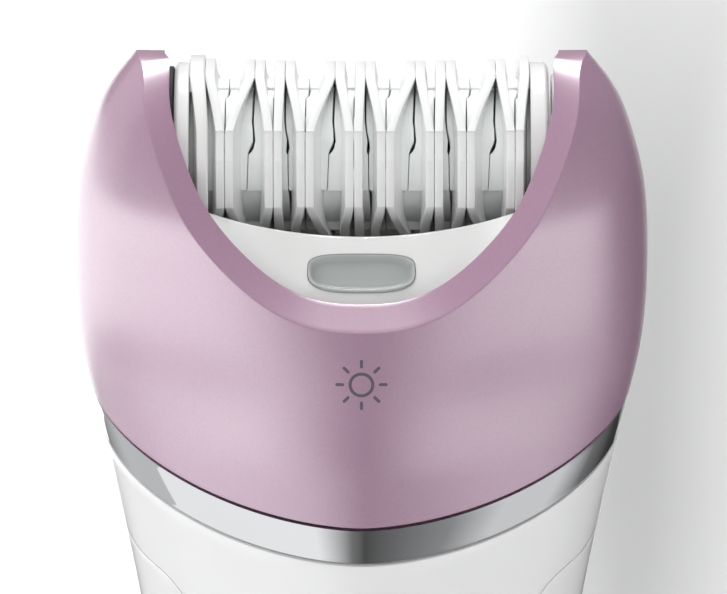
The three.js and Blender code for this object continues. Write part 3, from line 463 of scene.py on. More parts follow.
def ray_strip(direction, start, stop, stroke):
    """A short bar with round ends."""
    along = np.array([math.cos(direction), math.sin(direction)])
    across = np.array([-along[1], along[0]])
    half = stroke / 2
    ends = np.sin(np.linspace(0, math.pi / 2, 6))
    places = np.concatenate([start + half - half * ends[::-1], stop - half + half * ends])
    widths = np.concatenate([half * np.sqrt(1 - ends[::-1] ** 2), half * np.sqrt(1 - ends ** 2)])
    widths = np.maximum(widths, NARROWEST_STROKE)
    middle = places[:, None] * along
    return np.stack([middle - widths[:, None] * across, middle + widths[:, None] * across], 1)


def sun_symbol():
    strips = [ring_strip(SUN_RING, SUN_STROKE)]
    strips += [ray_strip(k * TAU / 8, *SUN_RAYS, SUN_STROKE) for k in range(8)]
    sun = printed_shape("light_symbol", strips, AXIS_Z + SUN_Z, PRINT_LIFT, PRINT_DEPTH, on_cover_front)
    return finish_piece(sun, "head", PRINT)


# ---- Collar and light window ----

LIP_Z, LIP_RISE, LIP_HALF_WIDTH, LIP_Y = -5.5, 2.4, 16.2, 12.0
COLLAR_HALF_WIDTH = 19.4
COLLAR_BOTTOM = AXIS_Z - 15.3
WINDOW_SIZE = (11.2, 4.3)
WINDOW_MIDDLE = Vector((0, -14.6, AXIS_Z - 8.63))
WINDOW_LEAN = math.atan2(5.9, 5)
COVER_HALF_WIDTH = 29.4  # where the collar's ends lie


def cover_inner_y(x, z, inset):
    """Distance from the middle plane to the form moved inwards by inset, at x and z."""
    power = measure(z, POWER)
    share = np.abs(x) / (measure(z, SIDE) - inset)
    return (measure(z, FRONT) - inset) * (1 - share ** power) ** (1 / power)


def collar_strip(name, direction):
    """Collar beside the barrel, from the cover's rim up to the lip, as one closed strip."""
    front = direction < 0
    x = np.linspace(-COLLAR_HALF_WIDTH, COLLAR_HALF_WIDTH, 121)
    spread = (x / LIP_HALF_WIDTH) ** 2
    within, beyond = np.minimum(spread, 1), np.maximum(spread - 1, 0)
    reach = np.sqrt(1 - (x / (COVER_HALF_WIDTH - RIM_WIDTH)) ** 2)
    lip_z = AXIS_Z + LIP_Z + LIP_RISE * within - beyond * 6
    rim_z = rim_height(reach, front) + rim_rise(reach, front) - 0.7 * reach ** RISE_POWER
    rim_z = np.minimum(rim_z, lip_z) - 0.4
    lip_y = LIP_Y - within - beyond * 1.4
    lip_width = 1.2 - 0.8 * within
    rim_y = np.maximum(cover_inner_y(x, rim_z, RIM_WIDTH + GAP), lip_y + 0.2)
    foot_y = cover_inner_y(x, COLLAR_BOTTOM, RIM_WIDTH + GAP)
    mid_z = (rim_z + COLLAR_BOTTOM) / 2
    mid_y = cover_inner_y(x, mid_z, RIM_WIDTH + GAP)
    foot_z = np.full_like(x, COLLAR_BOTTOM)
    profile = [(rim_y, rim_z), (lip_y, lip_z), (lip_y - lip_width, lip_z - 0.5), (rim_y - 1.9, rim_z - 1.6),
               (foot_y - 1.8, foot_z), (foot_y, foot_z), (mid_y, mid_z)]
    rows = []
    for i in range(len(x)):
        corners = [(y[i], z[i]) for y, z in profile]
        face = [np.array(corners[0]) * (1 - t) + np.array(corners[1]) * t for t in (0, 0.2, 0.4, 0.6, 0.8)]
        # The sloping face swells a little between the rim and the lip.
        crown = [0, 0.1, 0.16, 0.16, 0.1]
        face = [p + np.array([0.76, 0.65]) * c * (1 - within[i] * 0.6) for p, c in zip(face, crown)]
        loop = fillet([*face, *corners[1:]], [0.3, 0, 0, 0, 0, 0.45, 0.35, 0.3, 0.3, 0.3, 0], 4)
        rows.append(np.stack([np.full(len(loop), x[i]), direction * loop[:, 0], loop[:, 1]], -1))
    return grid(name, rows)


def lean(obj):
    """Stands a piece made flat in the XY plane on the collar's slope, as the window is."""
    turn = Matrix.Translation(WINDOW_MIDDLE * MM) @ Matrix.Rotation(WINDOW_LEAN, 4, "X")
    obj.data.transform(turn)
    return obj


def window_outline(grow, count=96):
    """Soft-cornered pane: its lower edge is rounder than its upper edge."""
    angle = (np.arange(count) + 0.5) / count * TAU
    sine, cosine = np.sin(angle), np.cos(angle)
    power = np.where(sine > 0, 4.6, 2.7)
    radius = (np.abs(cosine) ** power + np.abs(sine) ** power) ** (-1 / power)
    half_width, half_height = WINDOW_SIZE[0] / 2 + grow, WINDOW_SIZE[1] / 2 + grow
    drop = np.where(sine > 0, 1 - 0.05 * (radius * cosine) ** 2, 1)
    return np.stack([half_width * radius * cosine, half_height * radius * sine * drop], -1)


def front_collar():
    collar = collar_strip("front_collar_shell", -1)
    recess = lean(prism("recess", window_outline(0), "z", -6, 6))
    cut(collar, [recess])
    bevel(collar, 0.14, 3, 55)
    return finish_piece(collar, "head", COLLAR, ["front_collar"], 50)


def rear_collar():
    collar = collar_strip("rear_collar_shell", 1)
    return finish_piece(collar, "head", COLLAR, ["rear_collar"], 50)


def light_window():
    """Shallow tray: a thin rim level with the collar, sloping walls and a flat floor."""
    levels = ((0.4, -2.2), (0.07, -1.9), (0.06, -0.16), (0.1, -0.1), (0.2, -0.1), (0.27, -0.16), (0.5, -0.62),
              (0.62, -0.86), (0.74, -0.95), (0.95, -0.97), (1.6, -0.97))
    rows = []
    for inset, height in levels:
        outline = window_outline(-inset)
        rows.append(np.column_stack([outline, np.full(len(outline), height)]))
    pane = lean(grid("light_window_pane", rows))
    return finish_piece(pane, "head", WINDOW, ["light_window"], 50)


# ---- Chrome ring and handle ----

def sleeve(name, lower, upper, thickness, levels, columns=288, edge=0.2, crown=0.0):
    """Closed ring of wall between two height functions of the angle and the inset."""
    angle = (np.arange(columns) + 0.5) / columns * TAU
    low, high = lower(angle, 0.0), upper(angle, 0.0)
    inner_low, inner_high = lower(angle, thickness), upper(angle, thickness)
    rows = [form(angle, low, edge), form(angle, low + edge * 0.28, edge * 0.28)]
    for t in np.linspace(0, 1, levels):
        z = low + edge + (high - low - 2 * edge) * t
        rows.append(form(angle, z, crown * (2 * t - 1) ** 2))
    rows += [form(angle, high - edge * 0.28, edge * 0.28), form(angle, high, edge)]
    for t in np.linspace(1, 0, max(levels // 3, 4)):
        rows.append(form(angle, inner_low + (inner_high - inner_low) * t, thickness))
    return grid(name, np.array(rows), wrap_rows=True)


def chrome_ring():
    ring = sleeve("chrome_band", lambda a, i: on_seam(a, RING_HEIGHT - GAP / 2, i),
                  lambda a, i: on_seam(a, GAP / 2, i), 2.4, 14, 360, 0.22, 0.06)
    return finish_piece(ring, "handle", CHROME, ["chrome_ring"], 60)


HANDLE_BOTTOM = 8 + GAP / 2
# Line between the two shells seen from the side, as [y, z] from the top of the back down.
PARTING = [(30, 143), (20, 136.5), (0, 123.2), (-9.8, 118.4), (-11.4, 107), (-8.6, 86), (-5, 60), (-4, 30),
           (-4, -5)]
SHUT_LINE = 0.13
BEYOND = 45  # outside the handle on every side


def smooth_line(points, steps=10):
    """Catmull-Rom line through the points."""
    points = [np.array(p, float) for p in points]
    line = []
    for i in range(len(points) - 1):
        a, b = points[max(i - 1, 0)], points[i]
        c, d = points[i + 1], points[min(i + 2, len(points) - 1)]
        for t in np.arange(steps) / steps:
            line.append(0.5 * (2 * b + (c - a) * t + (2 * a - 5 * b + 4 * c - d) * t ** 2
                               + (3 * b - a - 3 * c + d) * t ** 3))
    return np.array(line + [points[-1]])


def behind_parting(shift):
    """Everything behind the line between the shells, moved by shift, as a cutter."""
    line = smooth_line(PARTING) + np.array([shift, -shift])
    outline = np.vstack([line, [[BEYOND, PARTING[-1][1]], [BEYOND, PARTING[0][1]]]])
    return prism("parting", outline, "x", -BEYOND, BEYOND)


def handle_sleeve(name):
    return sleeve(name, lambda a, i: np.full(np.shape(a), HANDLE_BOTTOM),
                  lambda a, i: on_seam(a, RING_HEIGHT + GAP / 2, i), WALL, 84, 200, 0.18)


BUTTON_Z, BUTTON_RADIUS, BUTTON_PLAY = 70.0, 6.0, 0.25
BUTTON_FACE_Y = -12.8
CHARGE_LIGHT_DROP, CHARGE_LIGHT_RADIUS = 14, 1.5  # the charge light's hole, below the button
MARK_LIFT, MARK_DEPTH, MARK_STROKE = 0.03, 0.2, 0.34
RELEASE_Z, RELEASE_SIZE, RELEASE_HOLE = 122.0, (12, 6), (12.5, 6.5)
SCREWS = [(-10.4, 30), (10.4, 30), (-10.4, 77), (10.4, 77)]
SCREW_HOLE = 2.7
INLET_SIZE = (12, 6.6)
PIN_SIDE = 3.5


def bore(x, z, radius, start, stop, count=64):
    """Cylinder along Y, as a cutter."""
    angle = np.arange(count) / count * TAU
    outline = np.column_stack([x + radius * np.cos(angle), z + radius * np.sin(angle)])
    return prism("bore", outline, "y", start, stop)


def front_shell():
    """Front moulding of the handle, with the holes for the button and the charge light."""
    shell = handle_sleeve("front_shell_moulding")
    cut(shell, [behind_parting(-SHUT_LINE / 2), bore(0, BUTTON_Z, BUTTON_RADIUS + BUTTON_PLAY, -40, 0),
                bore(0, BUTTON_Z - CHARGE_LIGHT_DROP, CHARGE_LIGHT_RADIUS, -40, 0, 32)])
    bevel(shell, 0.12, 2, 60)
    return finish_piece(shell, "handle", GLOSS, ["front_shell"], 45)


def rear_shell():
    """Rear moulding of the handle, with the holes for the release button and the screws."""
    shell = handle_sleeve("rear_shell_moulding")
    cut(shell, [behind_parting(SHUT_LINE / 2)], "INTERSECT")
    release = prism("hole", rounded_box(*RELEASE_HOLE, 3.1) + np.array([0, RELEASE_Z]), "y", 5, 40)
    cut(shell, [release] + [bore(x, z, SCREW_HOLE, 5, 40, 40) for x, z in SCREWS])
    bevel(shell, 0.12, 2, 60)
    return finish_piece(shell, "handle", GLOSS, ["rear_shell"], 45)


def base_cap():
    """Foot with a rolled edge, and the charging inlet through it."""
    columns = 240
    angle = (np.arange(columns) + 0.5) / columns * TAU
    heights = [0, 0.05, 0.2, 0.5, 1, 1.7, 2.5, 3.5, 4.8, 6.2, 7.4, 7.75, 7.83, 7.85]
    insets = [0.7, 0.32, 0.1, 0, 0, 0, 0, 0, 0, 0, 0, 0.02, 0.08, 0.2]
    rows = [form(angle, z, inset) for z, inset in zip(heights, insets)]
    cap = grid("base_foot", np.array(rows))
    cut(cap, [prism("inlet", rounded_box(*INLET_SIZE, 2), "z", -5, 15)])
    bevel(cap, 0.3, 3, 60)
    return finish_piece(cap, "handle", GREY, ["base_cap"], 50)


# ---- Controls ----

ON_AXIS = 0.02  # turned pieces start this close to their axis

def power_button():
    """Dished cap with a hidden flange, and its mark: a ring open at the top with a bar in it."""
    edge, flange = BUTTON_RADIUS, BUTTON_RADIUS + 0.9
    profile = [(ON_AXIS, -12.75), (3.4, -12.85), (edge - 0.9, -13.25), (edge, -12.7), (edge, -9.7),
               (flange, -9.7), (flange, -9.2), (ON_AXIS, -9.2)]
    profile = fillet(profile, [0, 2.5, 0.8, 0.5, 0.1, 0.1, 0.1, 0], 5)
    button = lathe("power_button_cap", profile, "y", (0, 0, BUTTON_Z), 128)
    finish_piece(button, "power_button", GLOSS, ["power_button"], 50)
    strips = [ring_strip(1.5, MARK_STROKE, math.radians(125), math.radians(415), 48),
              ray_strip(math.pi / 2, 0.5, 2.1, MARK_STROKE)]

    def dish(x, z, lift):
        return np.stack([x, np.full_like(x, BUTTON_FACE_Y) - lift, z], -1)

    mark = printed_shape("power_symbol", strips, BUTTON_Z, MARK_LIFT, MARK_DEPTH, dish)
    finish_piece(mark, "power_button", PRINT)


def release_button():
    """Grooved cap behind the handle, on a flange that stays inside."""
    back = float(measure(RELEASE_Z, BACK))
    low, high = back - 4.4, back + 0.2
    rows = []
    steps = [(0, low), (0, high - 0.5), (0.08, high - 0.22), (0.28, high - 0.06), (0.6, high),
             (2.2, high + 0.08)]
    for inset, y in steps:
        width, height = (size - 2 * inset for size in RELEASE_SIZE)
        outline = rounded_box(width, height, max(2.9 - inset, 0.5), 10)
        rows.append(np.column_stack([outline[:, 0], np.full(len(outline), y), outline[:, 1] + RELEASE_Z]))
    button = grid("release_button_cap", rows)
    groove = rounded_box(6.4, 0.45, 0.2, 4)
    cut(button, [prism("groove", groove + np.array([0, RELEASE_Z + step]), "y", high - 0.15, high + 3)
                 for step in (-1.2, 0, 1.2)])
    flange = rounded_box(14, 5, 0.6) + np.array([0, RELEASE_Z - 0.1])
    cut(button, [prism("flange", flange, "y", back - 5.2, low + 0.4)], "UNION")
    return finish_piece(button, "release_button", GREY, ["release_button"], 40)


def screws():
    """Cross-head screws in the rear shell."""
    for number, (x, z) in enumerate(SCREWS, 1):
        profile = fillet([(ON_AXIS, 9.8), (2.3, 9.8), (2.3, 8.5), (1.2, 8.5), (1.2, 0), (ON_AXIS, 0)],
                         [0, 0.4, 0.1, 0.1, 0.2, 0], 4)
        screw = lathe(f"screw_{number}", profile, "y", (x, 0, z), 48)
        cut(screw, [prism("slot", rounded_box(wide, tall, 0.1, 3) + np.array([x, z]), "y", 8.9, 12)
                    for wide, tall in ((2.4, 0.5), (0.5, 2.4))])
        finish_piece(screw, "handle", STEEL, [f"housing_screw_{number}"], 40)


def charging_pins():
    """The two pins in the charging inlet; the socket itself is the CAD node."""
    profile = fillet([(ON_AXIS, 10.4), (0.8, 10.4), (0.8, 19.6), (ON_AXIS, 19.6)], [0, 0.6, 0.1, 0], 6)
    for name, side in (("left", -PIN_SIDE), ("right", PIN_SIDE)):
        pin = lathe(f"charging_pin_{name}", profile, "z", (side, 0, 0), 40)
        finish_piece(pin, "handle", STEEL, [f"socket_pin_{name}"], 40)


# ---- Tweezer barrel ----

# Corners of a tweezer's outline, in degrees up from the front. The other half repeats them.
TIP_CORNERS = (-18.0, 11.5, 29.0, 72.0, 112.0)
CHORD_SHARE = 0.65  # how far the sides go from round (0) to straight (1)
LEG_STEP = 0.24  # drop from the end of the upper leg to the front bar
STACK_SWELL = 0.3  # how much wider the stack's ends are than its middle


def wave(degrees):
    """1 where the front tips close, -1 where the top tips close, and the same half a turn on."""
    swing = np.cos(np.radians(2 * (degrees - FRONT_ZONE)))
    half_angle = np.where(swing > 0, CLOSED_HALF_ANGLE, TIP_HALF_ANGLE)
    return np.clip(swing / np.cos(np.radians(2 * half_angle)), -1, 1)


def blade_middle(index, degrees):
    """Middle of a blade's rim along X. Even blades lean left at the top, odd ones right."""
    start = SPAN_START + PERIOD * (index // 4)
    pair = (index % 4) // 2
    leans_left = index % 2 == 0
    top = start + (TOP_PLANES[pair] if leans_left else (TOP_PLANES[1], PERIOD)[pair])
    if index == BLADES_IN_ALL - 1:
        top += END_LEAN
    front = start + FRONT_PLANES[pair]
    side = 1 if leans_left else -1
    far = np.cos(np.radians(degrees - FRONT_ZONE - 45)) < 0
    gap = np.where(far & leans_left, OPEN_GAP - CLOSED_GAP / 2, CLOSED_GAP / 2)
    at_top = top + side * (TIP_BLADE / 2 + gap)
    at_front = front - side * (BLADE / 2 + gap)
    return at_top + (at_front - at_top) * (wave(degrees) + 1) / 2


def hub_middle(index):
    """Place of a blade's hub along X: halfway between its rim at the front and at the top."""
    at_front, at_top = (blade_middle(index, np.array(FRONT_ZONE + turn)) for turn in (0.0, 90.0))
    return float(at_front + at_top) / 2


def blade_radius(index):
    """The stack is a little fuller towards its ends, and its last blade is a flange."""
    share = (hub_middle(index) - (SPAN_START + SPAN_END) / 2) / (SPAN_END - SPAN_START) * 2
    return FLANGE_RADIUS if index == BLADES_IN_ALL - 1 else BLADE_RADIUS + STACK_SWELL * share ** 2


def outline_radius(degrees, radius):
    """Straight-sided outline of a tweezer: chords between its corners, and a step under each leg."""
    turn = (degrees - TIP_CORNERS[0]) % 180 + TIP_CORNERS[0]
    corners = list(TIP_CORNERS) + [TIP_CORNERS[0] + 180]
    result = np.full(np.shape(degrees), radius, float)
    for a, b in zip(corners, corners[1:]):
        inside = (turn >= a) & (turn <= b)
        chord = math.cos(math.radians((b - a) / 2)) / np.cos(np.radians(turn - (a + b) / 2))
        result = np.where(inside, radius * (1 - CHORD_SHARE + CHORD_SHARE * chord), result)
    step_start, step_end = TIP_CORNERS[1:3]
    below = (turn > step_start) & (turn < step_end)
    return result - np.where(below, LEG_STEP * (turn - step_start) / (step_end - step_start), 0)


def blade_angles():
    """Degrees round a blade, with a pair of columns at each step so that it stays crisp."""
    even = np.arange(-18, 342, 2.0)
    steps = np.array([28.7, 29.3, 208.7, 209.3, 11.4, 11.6, 191.4, 191.6])
    corner_pairs = (-17.7, -18.3 + 360, 71.7, 72.3, 111.7, 112.3)
    corners = np.array([corner + half for half in (0, 180) for corner in corner_pairs])
    return np.unique(np.concatenate([even, steps, corners % 360]) % 360)


def tweezer_blade(index):
    """One tweezer disc. Even ones rock on a body of their own, odd ones turn with the barrel."""
    degrees = blade_angles()
    angle = np.radians(degrees)
    rim = blade_middle(index, degrees)
    hub = hub_middle(index)
    outer = outline_radius(degrees, blade_radius(index))
    half = (TIP_BLADE + (BLADE - TIP_BLADE) * (wave(degrees) + 1) / 2) / 2
    # Profile across the blade: share of the way from bore to rim, and half thickness.
    profile = [(0.0, half - 0.04), (0.16, half - 0.02), (0.32, half), (0.55, half), (0.8, half), (0.95, half),
               (0.986, half - 0.03), (1.0, half - 0.1)]
    rows = []
    sides = [(share, thick, -1) for share, thick in profile] + [(s, t, 1) for s, t in reversed(profile)]
    for share, thick, side in sides:
        radius = BLADE_BORE + (outer - BLADE_BORE) * share
        ease = np.clip(share * 1.12, 0, 1) ** 0.9
        x = hub + (rim - hub) * ease + side * thick
        rows.append(np.stack([x, -radius * np.cos(angle), AXIS_Z + radius * np.sin(angle)], -1))
    blade = grid(f"tweezer_{index + 1}", rows, wrap_rows=True)
    body = f"tweezer_{index // 2 + 1}" if index % 2 == 0 else "barrel"
    return finish_piece(blade, body, BLADES, [f"tweezer_disc_{index + 1}"], 30)


# Shut lines between hub rings: degrees, shift along X from the contact plane, half width.
# They hook where the tweezers' legs end and jog where the recess starts.
SHUT_WIDE = [(-60, -1.85, 0.16), (-46, -1.8, 0.16), (-25, -1.55, 0.17), (-16, -1.3, 0.15), (-13, -0.8, 0.03),
             (15, -0.66, 0.03), (17, -0.5, 0.15), (20, -0.3, 0.2), (26, -0.05, 0.12), (34, -0.1, 0.08),
             (42, -0.2, 0.1), (75, -0.05, 0.1), (96, 0, 0.08), (104, 0, 0.03), (120, -1.85, 0.16)]
SHUT_NARROW = [(-60, 0.75, 0.14), (-46, 0.7, 0.14), (-25, 0.6, 0.15), (-15, 0.45, 0.12), (-13, 0.35, 0.04),
               (15, 0.3, 0.04), (17, 0.25, 0.12), (20, 0.3, 0.16), (26, 0.3, 0.1), (34, 0.1, 0.07),
               (42, 0, 0.08), (75, 0, 0.08), (96, 0, 0.07), (104, 0, 0.03), (120, 0.75, 0.14)]
SHUT_FRONT = [(-60, 0, 0.05), (-25, 0, 0.05), (15, 0, 0.03), (18, 0, 0.1), (21, 0, 0.13), (25, 0, 0.06),
              (64, 0.05, 0.05), (67, 0.3, 0.1), (74, 0.45, 0.12), (77, 0.45, 0.05), (96, 0.4, 0.03),
              (120, 0, 0.05)]
RECESS_START, RECESS_DEPTH = -14.0, 0.55
BAND_START = 76.0


def shut_line(index, turn):
    """Where the ring after a blade begins, and half the width of the gap there."""
    period, place = SPAN_START + PERIOD * (index // 4), index % 4
    plane, path = {
        0: (FRONT_PLANES[0], SHUT_FRONT), 1: (TOP_PLANES[1], SHUT_WIDE),
        2: (FRONT_PLANES[1], SHUT_FRONT), 3: (PERIOD, SHUT_NARROW),
    }[place]
    key = np.array(path, float)
    return period + plane + np.interp(turn, key[:, 0], key[:, 1]), np.interp(turn, key[:, 0], key[:, 2])


def hub_rings():
    """Rings that carry the tweezers, each with its own hooked shut lines."""
    keys = {k[0] for path in (SHUT_WIDE, SHUT_NARROW, SHUT_FRONT) for k in path}
    edges = {edge + step for edge in (RECESS_START, BAND_START) for step in (-0.3, 0.3)}
    half_turn = np.array(sorted(keys | edges | set(range(-60, 120, 3))), float)[:-1]
    degrees = np.concatenate([half_turn, half_turn + 180])
    turn = np.concatenate([half_turn, half_turn])
    radius = HUB_RADIUS + np.where(turn > BAND_START, HUB_BAND, 0)
    radius = radius - np.where(turn < RECESS_START, RECESS_DEPTH, 0)
    angle = np.radians(degrees)
    lines = [shut_line(i, turn) for i in range(BLADES_IN_ALL - 1)]
    nothing = np.zeros_like(degrees)
    lines = [(nothing + SPAN_START + 0.06, nothing), *lines, (nothing + SPAN_END - 0.06, nothing)]
    for i in range(BLADES_IN_ALL):
        left, right = lines[i][0] + lines[i][1], lines[i + 1][0] - lines[i + 1][1]
        rows = []
        for x, inwards in ((left, 1), (right, -1)):
            side = [(x, np.full(x.shape, HUB_BORE)), (x, radius - 0.12),
                    (x + inwards * 0.04, radius - 0.03), (x + inwards * 0.12, radius)]
            for place, r in side[::inwards]:
                rows.append(np.stack([place, -r * np.cos(angle), AXIS_Z + r * np.sin(angle)], -1))
        ring = grid(f"hub_ring_{i + 1}", rows, wrap_rows=True)
        finish_piece(ring, "barrel", HUB, ["barrel_core"] if i == 0 else (), 35)


DRUM_RADIUS, DRUM_EDGE = 9.75, 0.35
DRUM_STEPS = [(0.0, 0.5), (0.0, 2.1), (0.5, 2.1), (0.5, 4.1), (0.0, 4.1)]  # how far back, how far in
DRUM_SIDES, RING_SIDES, AXLE_SIDES = 144, 120, 48
SHAFT_BORE, SHAFT_RADIUS, SHAFT_END = 1.8, 1.5, 23.5
FLANGE_WIDTH, FLANGE_ROOT, FLANGE_LEAN = 1.2, 7.7, 0.4
GROOVE_RADIUS, GROOVE_WIDTH = 6.6, 0.42
# Dark rubber seals beside the drums; their black is partly painted shade for the gaps between the drums and
# the horns: name, near and far side along X, radius.
SEALS_AND_GAP_SHADE = [("left", -CAP_END - 0.08, -CAP_END - 0.62, 9.3), ("right", 20.7, 21.25, 8.9)]


def drum_face(start, end, side):
    """Profile of a drum from its inner edge to its stepped outer face, as [radius, x]."""
    steps = [(DRUM_RADIUS - down, end - side * back) for back, down in DRUM_STEPS]
    return [(DRUM_RADIUS, start), (DRUM_RADIUS, end - side * DRUM_EDGE), *steps, (SHAFT_BORE, end)]


def on_barrel(name, profile, sides, finish, replaced=(), sharp=45):
    """Piece turned about the barrel's axis. The profile is [radius, x]."""
    piece = lathe(name, profile, "x", (0, 0, AXIS_Z), sides)
    return finish_piece(piece, "barrel", finish, replaced, sharp)


def lean_flange(cap, flange):
    """The flange follows the first tweezer: it leans out at the top and in at the front."""
    for vertex in cap.data.vertices:
        x, y, z = (c / MM for c in vertex.co)
        radius = math.hypot(y, z - AXIS_Z)
        if x > flange - 0.05 and radius > FLANGE_ROOT:
            at_front = (float(wave(math.degrees(math.atan2(z - AXIS_Z, -y)))) + 1) / 2
            grow = min((radius - FLANGE_ROOT) / 2, 1)
            outer = min(max((SPAN_START - x) / FLANGE_WIDTH, 0), 1)
            vertex.co.x += FLANGE_LEAN * (at_front - outer * (1 - at_front)) * grow * MM


def barrel_ends():
    """Drums at both ends of the stack, the ring, the dark seals that are partly painted shade in the gaps
    beside the drums, and the axle.
    """
    # Left: the flange that the first tweezer closes on, a dark groove, and the drum.
    flange = SPAN_START - FLANGE_WIDTH
    drum = flange - GROOVE_WIDTH
    profile = [(SHAFT_BORE, SPAN_START), (FLANGE_RADIUS, SPAN_START), (FLANGE_RADIUS, flange),
               (GROOVE_RADIUS, flange), (GROOVE_RADIUS, drum), *drum_face(drum, -CAP_END, -1)]
    cap = lathe("left_end_cap", fillet(profile, 0.22, 4), "x", (0, 0, AXIS_Z), DRUM_SIDES)
    lean_flange(cap, flange)
    finish_piece(cap, "barrel", CAP, ["end_cap_left"], 45)

    start = SPAN_END + END_LEAN + 0.04
    profile = [(SHAFT_BORE, SPAN_END), (6.9, SPAN_END), (6.9, start), *drum_face(start, CAP_END, 1)]
    on_barrel("right_end_cap", fillet(profile, 0.22, 4), DRUM_SIDES, CAP, ["end_cap_right"])

    start, radius = CAP_END + GAP, 8.5
    end = start + 0.8
    profile = [(SHAFT_BORE, start), (radius, start), (radius, end), (SHAFT_BORE, end)]
    on_barrel("thrust_ring_turned", fillet(profile, 0.25, 4), RING_SIDES, CAP, ["thrust_ring"])
    # Black seal rings: partly painted shade, darkening the gaps between the drums and the horns.
    for name, near, far, radius in SEALS_AND_GAP_SHADE:
        profile = [(SHAFT_BORE, near), (radius, near), (radius, far), (SHAFT_BORE, far)]
        on_barrel(f"barrel_seal_and_gap_shade_{name}", fillet(profile, 0.2, 4), RING_SIDES, RUBBER)
    profile = [(radius, end) for end, radius in ((-SHAFT_END, ON_AXIS), (-SHAFT_END, SHAFT_RADIUS),
                                                 (SHAFT_END, SHAFT_RADIUS), (SHAFT_END, ON_AXIS))]
    profile = fillet(profile, [0, 0.3, 0.3, 0], 3)
    on_barrel("barrel_axle", profile, AXLE_SIDES, STEEL, ["barrel_shaft"], 40)


# ---- Finishes for the CAD nodes that stay ----

def finish_frame_nodes():
    """Materials for the pieces of the CAD model that are shown as they are."""
    finishes = {
        # The deck, chassis and carrier get the dark grey that is painted shade for the cavity round the drum.
        **dict.fromkeys(("top_deck", "chassis", "head_carrier"), CARRIER_PAINTED_SHADE),
        **dict.fromkeys(("shaft_seal", "button_seal"), RUBBER),
        **dict.fromkeys(("charge_led", "light_led"), LAMP),
        **dict.fromkeys(("barrel_gear", "idler_gear", "cross_gear", "drive_spindle", "motor_dog"), ACETAL),
        "charging_socket": BLACK, "battery_cell": SLEEVE, "circuit_board": BOARD, "charge_lens": LENS,
    }
    for name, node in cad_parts.items():
        finish = finishes.get(name, STEEL)
        node.data.materials.clear()
        node.data.materials.append(finish)


# ---- Studio ----

def area_light(name, place, target, size, power):
    """Square lamp that faces a target."""
    data = bpy.data.lights.new(name, "AREA")
    data.shape = "SQUARE"
    data.size = size
    data.energy = power
    light = bpy.data.objects.new(name, data)
    light.location = place
    light.rotation_euler = (Vector(target) - Vector(place)).to_track_quat("-Z", "Y").to_euler()
    bpy.context.scene.collection.objects.link(light)
    return light


def only_for(obj, glossy=False, shadow=False):
    """Hides a card from everything but mirrors or shadows, as flags and grids do in a studio."""
    obj.visible_camera = obj.visible_diffuse = False
    obj.visible_glossy, obj.visible_shadow = glossy, shadow
    return obj


# Boards round the foot: white on the left, dark in front, pale at the front right, dark beyond.
# The nearer boards make the reflections low on the object, the room's make those higher up.
# Each stop is in degrees to the right of straight ahead, with a screen grey.
BOARDS = [(-155, 130), (-120, 200), (-90, 250), (-25, 250), (-8, 120), (4, 80), (20, 110), (42, 145),
          (62, 215), (88, 215), (110, 115), (135, 60), (165, 45)]
ROOM = [(-160, 220), (-100, 250), (-45, 250), (-14, 45), (12, 35), (36, 205), (80, 215), (102, 60), (140, 45)]
CARD_LIFT = 0.002  # m above the floor


def mirrored_card(name, stops, near, far, strength=1.0):
    """Flat glowing ring on the floor, shaded round its middle, that only mirrors can see."""
    count = 72
    turn = np.arange(count) / count * TAU
    circle = np.column_stack([np.cos(turn), np.sin(turn), np.zeros(count)])
    points = np.vstack([circle * near, circle * far]) / MM
    faces = [(i, (i + 1) % count, count + (i + 1) % count, count + i) for i in range(count)]
    card = new_object(name, points, faces)
    card.location.z = CARD_LIFT
    mat = bpy.data.materials.new(name)
    mat.use_nodes = True
    nodes, links = mat.node_tree.nodes, mat.node_tree.links
    nodes.clear()
    place, round_it = nodes.new("ShaderNodeTexCoord"), nodes.new("ShaderNodeTexGradient")
    ramp, glow = nodes.new("ShaderNodeValToRGB"), nodes.new("ShaderNodeEmission")
    out = nodes.new("ShaderNodeOutputMaterial")
    round_it.gradient_type = "RADIAL"
    glow.inputs["Strength"].default_value = strength
    elements = ramp.color_ramp.elements
    places = sorted(((0.25 + degrees / 360) % 1, grey) for degrees, grey in stops)
    for number, (position, grey) in enumerate(places):
        stop = elements[number] if number < 2 else elements.new(position)
        stop.position = position
        stop.color = linear(grey, grey, grey)
    links.new(place.outputs["Object"], round_it.inputs["Vector"])
    links.new(round_it.outputs["Fac"], ramp.inputs["Fac"])
    links.new(ramp.outputs["Color"], glow.inputs["Color"])
    links.new(glow.outputs["Emission"], out.inputs["Surface"])
    card.data.materials.append(mat)
    only_for(card, glossy=True)


FLOOR_SIZE = 6.0  # m
# Square lamps: name, place, target, side in m, power in W, and whether mirrors see them.
HEAD = (0, 0, 0.15)
LAMPS = [
    ("key_left", (-1.05, -0.42, 0.68), HEAD, 1.3, 6.6, False),
    ("left_wall", (-1.1, 0.6, 0.6), HEAD, 1.1, 1.5, True),
    ("front_fill", (0.1, -1.15, 0.95), HEAD, 0.9, 3.8, False),
    ("right_fill", (0.62, -0.5, 0.08), HEAD, 0.25, 0.7, False),
    ("top_fill", (0.0, -0.25, 1.3), HEAD, 0.9, 3.6, False),
    ("back_fill", (0.0, 0.55, 1.3), (0, 0.56, 0), 0.5, 13, True),
]
FLAG = [(18, 330), (54, 330), (60, 560), (64, 900), (30, 560)]
FLAG_HEIGHT = 100


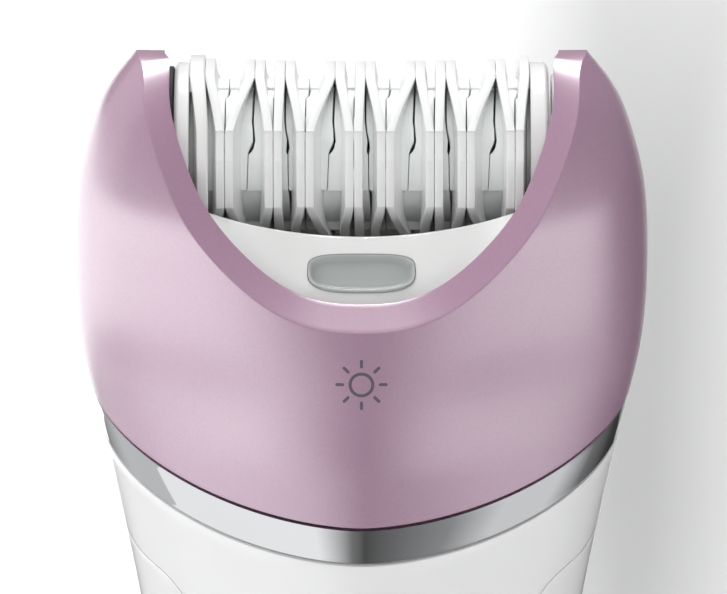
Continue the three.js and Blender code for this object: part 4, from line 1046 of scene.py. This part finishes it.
def studio():
    """Pale floor, lamps, and the boards and the flag that shape their light."""
    scene = bpy.context.scene
    scene.view_settings.view_transform = "Standard"
    scene.view_settings.look = "None"
    world = bpy.data.worlds.new("studio")
    world.use_nodes = True
    world.node_tree.nodes["Background"].inputs["Color"].default_value = (0.95, 0.96, 0.97, 1)
    world.node_tree.nodes["Background"].inputs["Strength"].default_value = 0.2
    scene.world = world
    corners = np.array([(-1, -1, 0), (1, -1, 0), (1, 1, 0), (-1, 1, 0)]) * FLOOR_SIZE / MM / 2
    floor = new_object("floor", corners, [(0, 1, 2, 3)])
    pale = material("pale_floor", (248, 248, 248), 0.004, 0.6, 0.02, 4, 0.0, specular=0.1)
    floor.data.materials.append(pale)
    mirrored_card("near_boards", BOARDS, 0.03, 0.34, 1.05)
    mirrored_card("middle_boards", ROOM, 0.34, 0.42, 2.0)
    mirrored_card("far_boards", ROOM, 0.42, 4.0, 2.2)
    # A flag over the floor behind the object softens the background at its right.
    flag = new_object("flag", [(x, y, FLAG_HEIGHT) for x, y in FLAG], [tuple(range(len(FLAG)))])
    flag.data.materials.append(material("flag_cloth", (60, 60, 60), 0.05, 0.9, 0.02, 40, 0.0))
    only_for(flag, shadow=True)
    for name, place, target, size, power, mirrored in LAMPS:
        area_light(name, place, target, size, power).visible_glossy = mirrored


CAMERA_ELEVATION = math.radians(16.0)
CAMERA_DISTANCE = 0.9
FRAME_WIDTH = 76.5  # width of the view at the barrel's axis
AXIS_ABOVE_CENTRE = 14.9  # how far the axis lies above the middle of the view
SENSOR_WIDTH = 36
CAMERA_X = 0.21


def camera():
    """Camera in front of the head, looking down a little."""
    data = bpy.data.cameras.new("camera")
    data.sensor_width = SENSOR_WIDTH
    data.lens = SENSOR_WIDTH * CAMERA_DISTANCE / (FRAME_WIDTH * MM)
    data.clip_start = 0.01
    view = bpy.data.objects.new("camera", data)
    target = Vector((CAMERA_X, 0, AXIS_Z - AXIS_ABOVE_CENTRE / math.cos(CAMERA_ELEVATION))) * MM
    back = Vector((0, -math.cos(CAMERA_ELEVATION), math.sin(CAMERA_ELEVATION)))
    view.location = target + back * CAMERA_DISTANCE
    view.rotation_euler = (-back).to_track_quat("-Z", "Y").to_euler()
    bpy.context.scene.collection.objects.link(view)
    bpy.context.scene.camera = view


# ---- Making it ----

camera()
studio()
finish_frame_nodes()
head_cover()
sun_symbol()
front_collar()
rear_collar()
light_window()
chrome_ring()
front_shell()
rear_shell()
base_cap()
power_button()
release_button()
screws()
charging_pins()
for blade in range(BLADES_IN_ALL):
    tweezer_blade(blade)
hub_rings()
barrel_ends()
